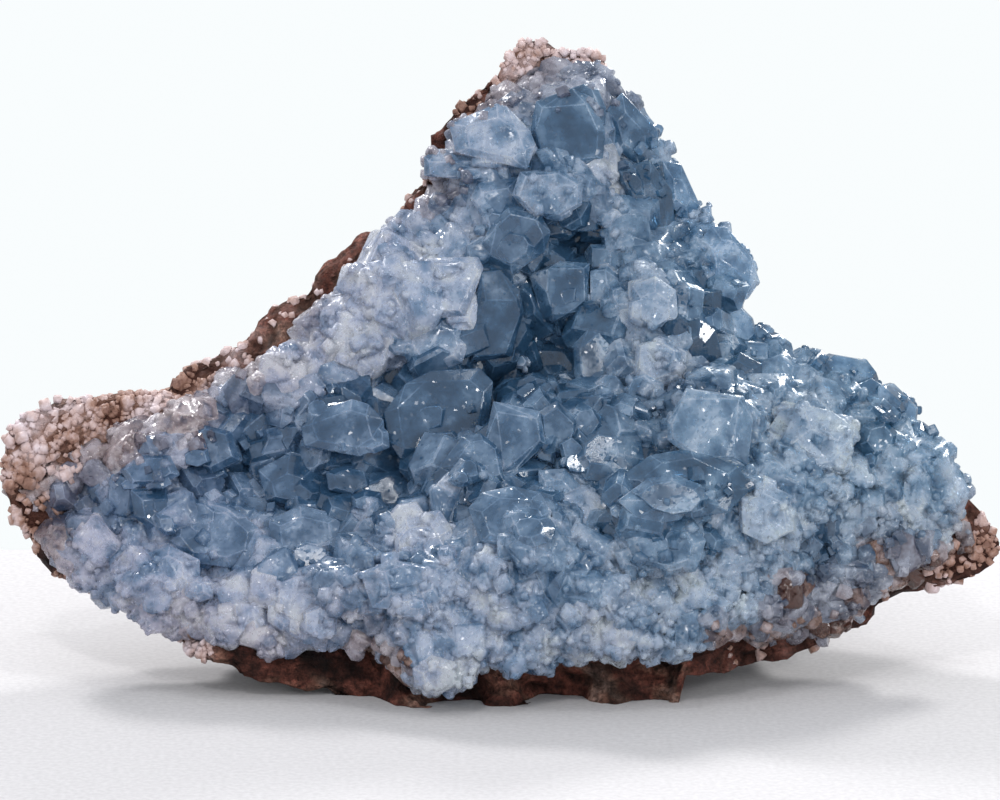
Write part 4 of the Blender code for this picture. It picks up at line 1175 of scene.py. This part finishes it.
celestite, tree, principled = shader("blue celestite", IOR=1.62, Transmission_Weight=0.52)
where = node(tree, "TexCoord").outputs["Object"]
milk = node(tree, "Attribute", attribute_name="milk").outputs["Fac"]
rust = node(tree, "Attribute", attribute_name="rust").outputs["Fac"]
veil = noisy(tree, where, 190.0, 3.0, 0.6)
total = reckoned(tree, "ADD", milk, ranged(tree, veil, 0.3, 0.7, -0.32, 0.28))
blue = ramp(
    tree, total, (0.0, (0.040, 0.11, 0.21)), (0.25, (0.077, 0.182, 0.333)),
    (0.5, (0.24, 0.39, 0.60)), (0.75, (0.60, 0.70, 0.91)), (1.0, (0.87, 0.91, 1.0)),
)
side = node(tree, "SeparateXYZ", {"Vector": where}).outputs["X"]
hue = reckoned(tree, "MULTIPLY_ADD", side, 7.0, veil)
tinge = ramp(tree, hue, (0.0, (1.0, 0.95, 0.99)), (1.0, (0.90, 1.0, 0.98)))
tinged = mixed(tree, 1.0, blue, tinge, "MULTIPLY")
heavy = reckoned(tree, "SUBTRACT", rust, 0.9, clamp=True)
patches = reckoned(tree, "MULTIPLY_ADD", heavy, -0.4, veil)
rusted = mixed(tree, rust, tinged, stained(tree, patches))

# Sugar-like grains, a few of them bright, lie on the milky crystals
sugar = node(tree, "TexVoronoi", {"Vector": where, "Scale": 1900.0, "Randomness": 1.0})
away = node(tree, "VectorMath", {0: where, 1: sugar.outputs["Position"]}, operation="SUBTRACT")
lean = node(tree, "VectorMath", {0: sugar.outputs["Color"], 1: (0.5,) * 3}, operation="SUBTRACT")
slope = node(tree, "VectorMath", {0: away.outputs[0], 1: lean.outputs[0]}, operation="DOT_PRODUCT")
frost = ranged(tree, total, 0.3, 0.7)
luck = node(tree, "SeparateColor", {0: sugar.outputs["Color"]}).outputs[0]
glint = ranged(tree, reckoned(tree, "MULTIPLY_ADD", frost, 0.25, luck), 0.87, 0.92)
bare = ranged(tree, total, 0.0, 0.8, 0.08, 0.42)
gloss = node(tree, "Mix", {0: glint, 2: bare, 3: 0.2}).outputs[0]
coat = reckoned(tree, "MAXIMUM", reckoned(tree, "MULTIPLY", frost, 0.22),
                reckoned(tree, "MULTIPLY", glint, 0.5))
facets = bumped(tree, slope.outputs["Value"], coat, 1.2)
feed(tree, principled, Base_Color=rusted, Roughness=gloss, Normal=facets)
deep = node(tree, "VolumeAbsorption", {"Color": (0.5, 0.68, 0.82, 1), "Density": 25.0})
tree.links.new(deep.outputs["Volume"], tree.nodes["Material Output"].inputs["Volume"])
crystals.data.materials.clear()
crystals.data.materials.append(celestite)


# The sugary rind
# Where the crust thins out on the geode's wall, on the left wing, along the upper edges and at the
# tips, a skin of sugar-like grains covers the rock. It is stained pink and brown by iron.
GRAIN_TRIES, GRAIN_SPACING = 60000, 0.5
GRAIN_WIDTH, GRAIN_WIDER = (0.7, 1.4), 1.5
GRAIN_PATCH, GRAIN_PATCHES = 0.005, 1.2
GRAIN_SINK, GRAIN_SWAY = 0.4, 0.4
LOWEST_GRAIN = 2 * MM


def rind_size(places):
    """How wide, in metres, the grains are at places on the rock, or 0 for none."""
    shade = np.array([noise.noise(Vector(place) / GRAIN_PATCH) for place in places])
    taken = draw.random(len(places)) < rind_cover(places) * (1 + GRAIN_PATCHES * shade)
    size = draw.uniform(*GRAIN_WIDTH, len(places)) + GRAIN_WIDER * draw.random(len(places)) ** 4
    return np.where(taken & (places[:, 2] > LOWEST_GRAIN), size * MM, 0.0)


spots = scattered(geode_wall.data, GRAIN_TRIES, GRAIN_SPACING, rind_size)
rind_bm = bmesh.new()
for mesh in set_on(spots, small, GRAIN_SINK, GRAIN_SWAY, 0.0):
    rind_bm.from_mesh(mesh)
    bpy.data.meshes.remove(mesh)
rind_grains = piece("rind_grains", rind_bm, smooth=True)
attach(rind_grains, "root")

rind_finish, tree, principled = shader("stained sugary rind")
where = node(tree, "TexCoord").outputs["Object"]
patch = noisy(tree, where, 300.0, 5.0, 0.7)
broad = noisy(tree, where, *BROAD_PATCHES)
patches = node(tree, "Mix", {0: 0.35, 2: broad, 3: patch}).outputs[0]
gloss = ramp(tree, patch, (0.3, 0.7), (0.7, 0.3))
bump = bumped(tree, patch, 0.4, 0.002)
feed(tree, principled, Base_Color=stained(tree, patches), Roughness=gloss, Normal=bump)
rind_grains.data.materials.append(rind_finish)
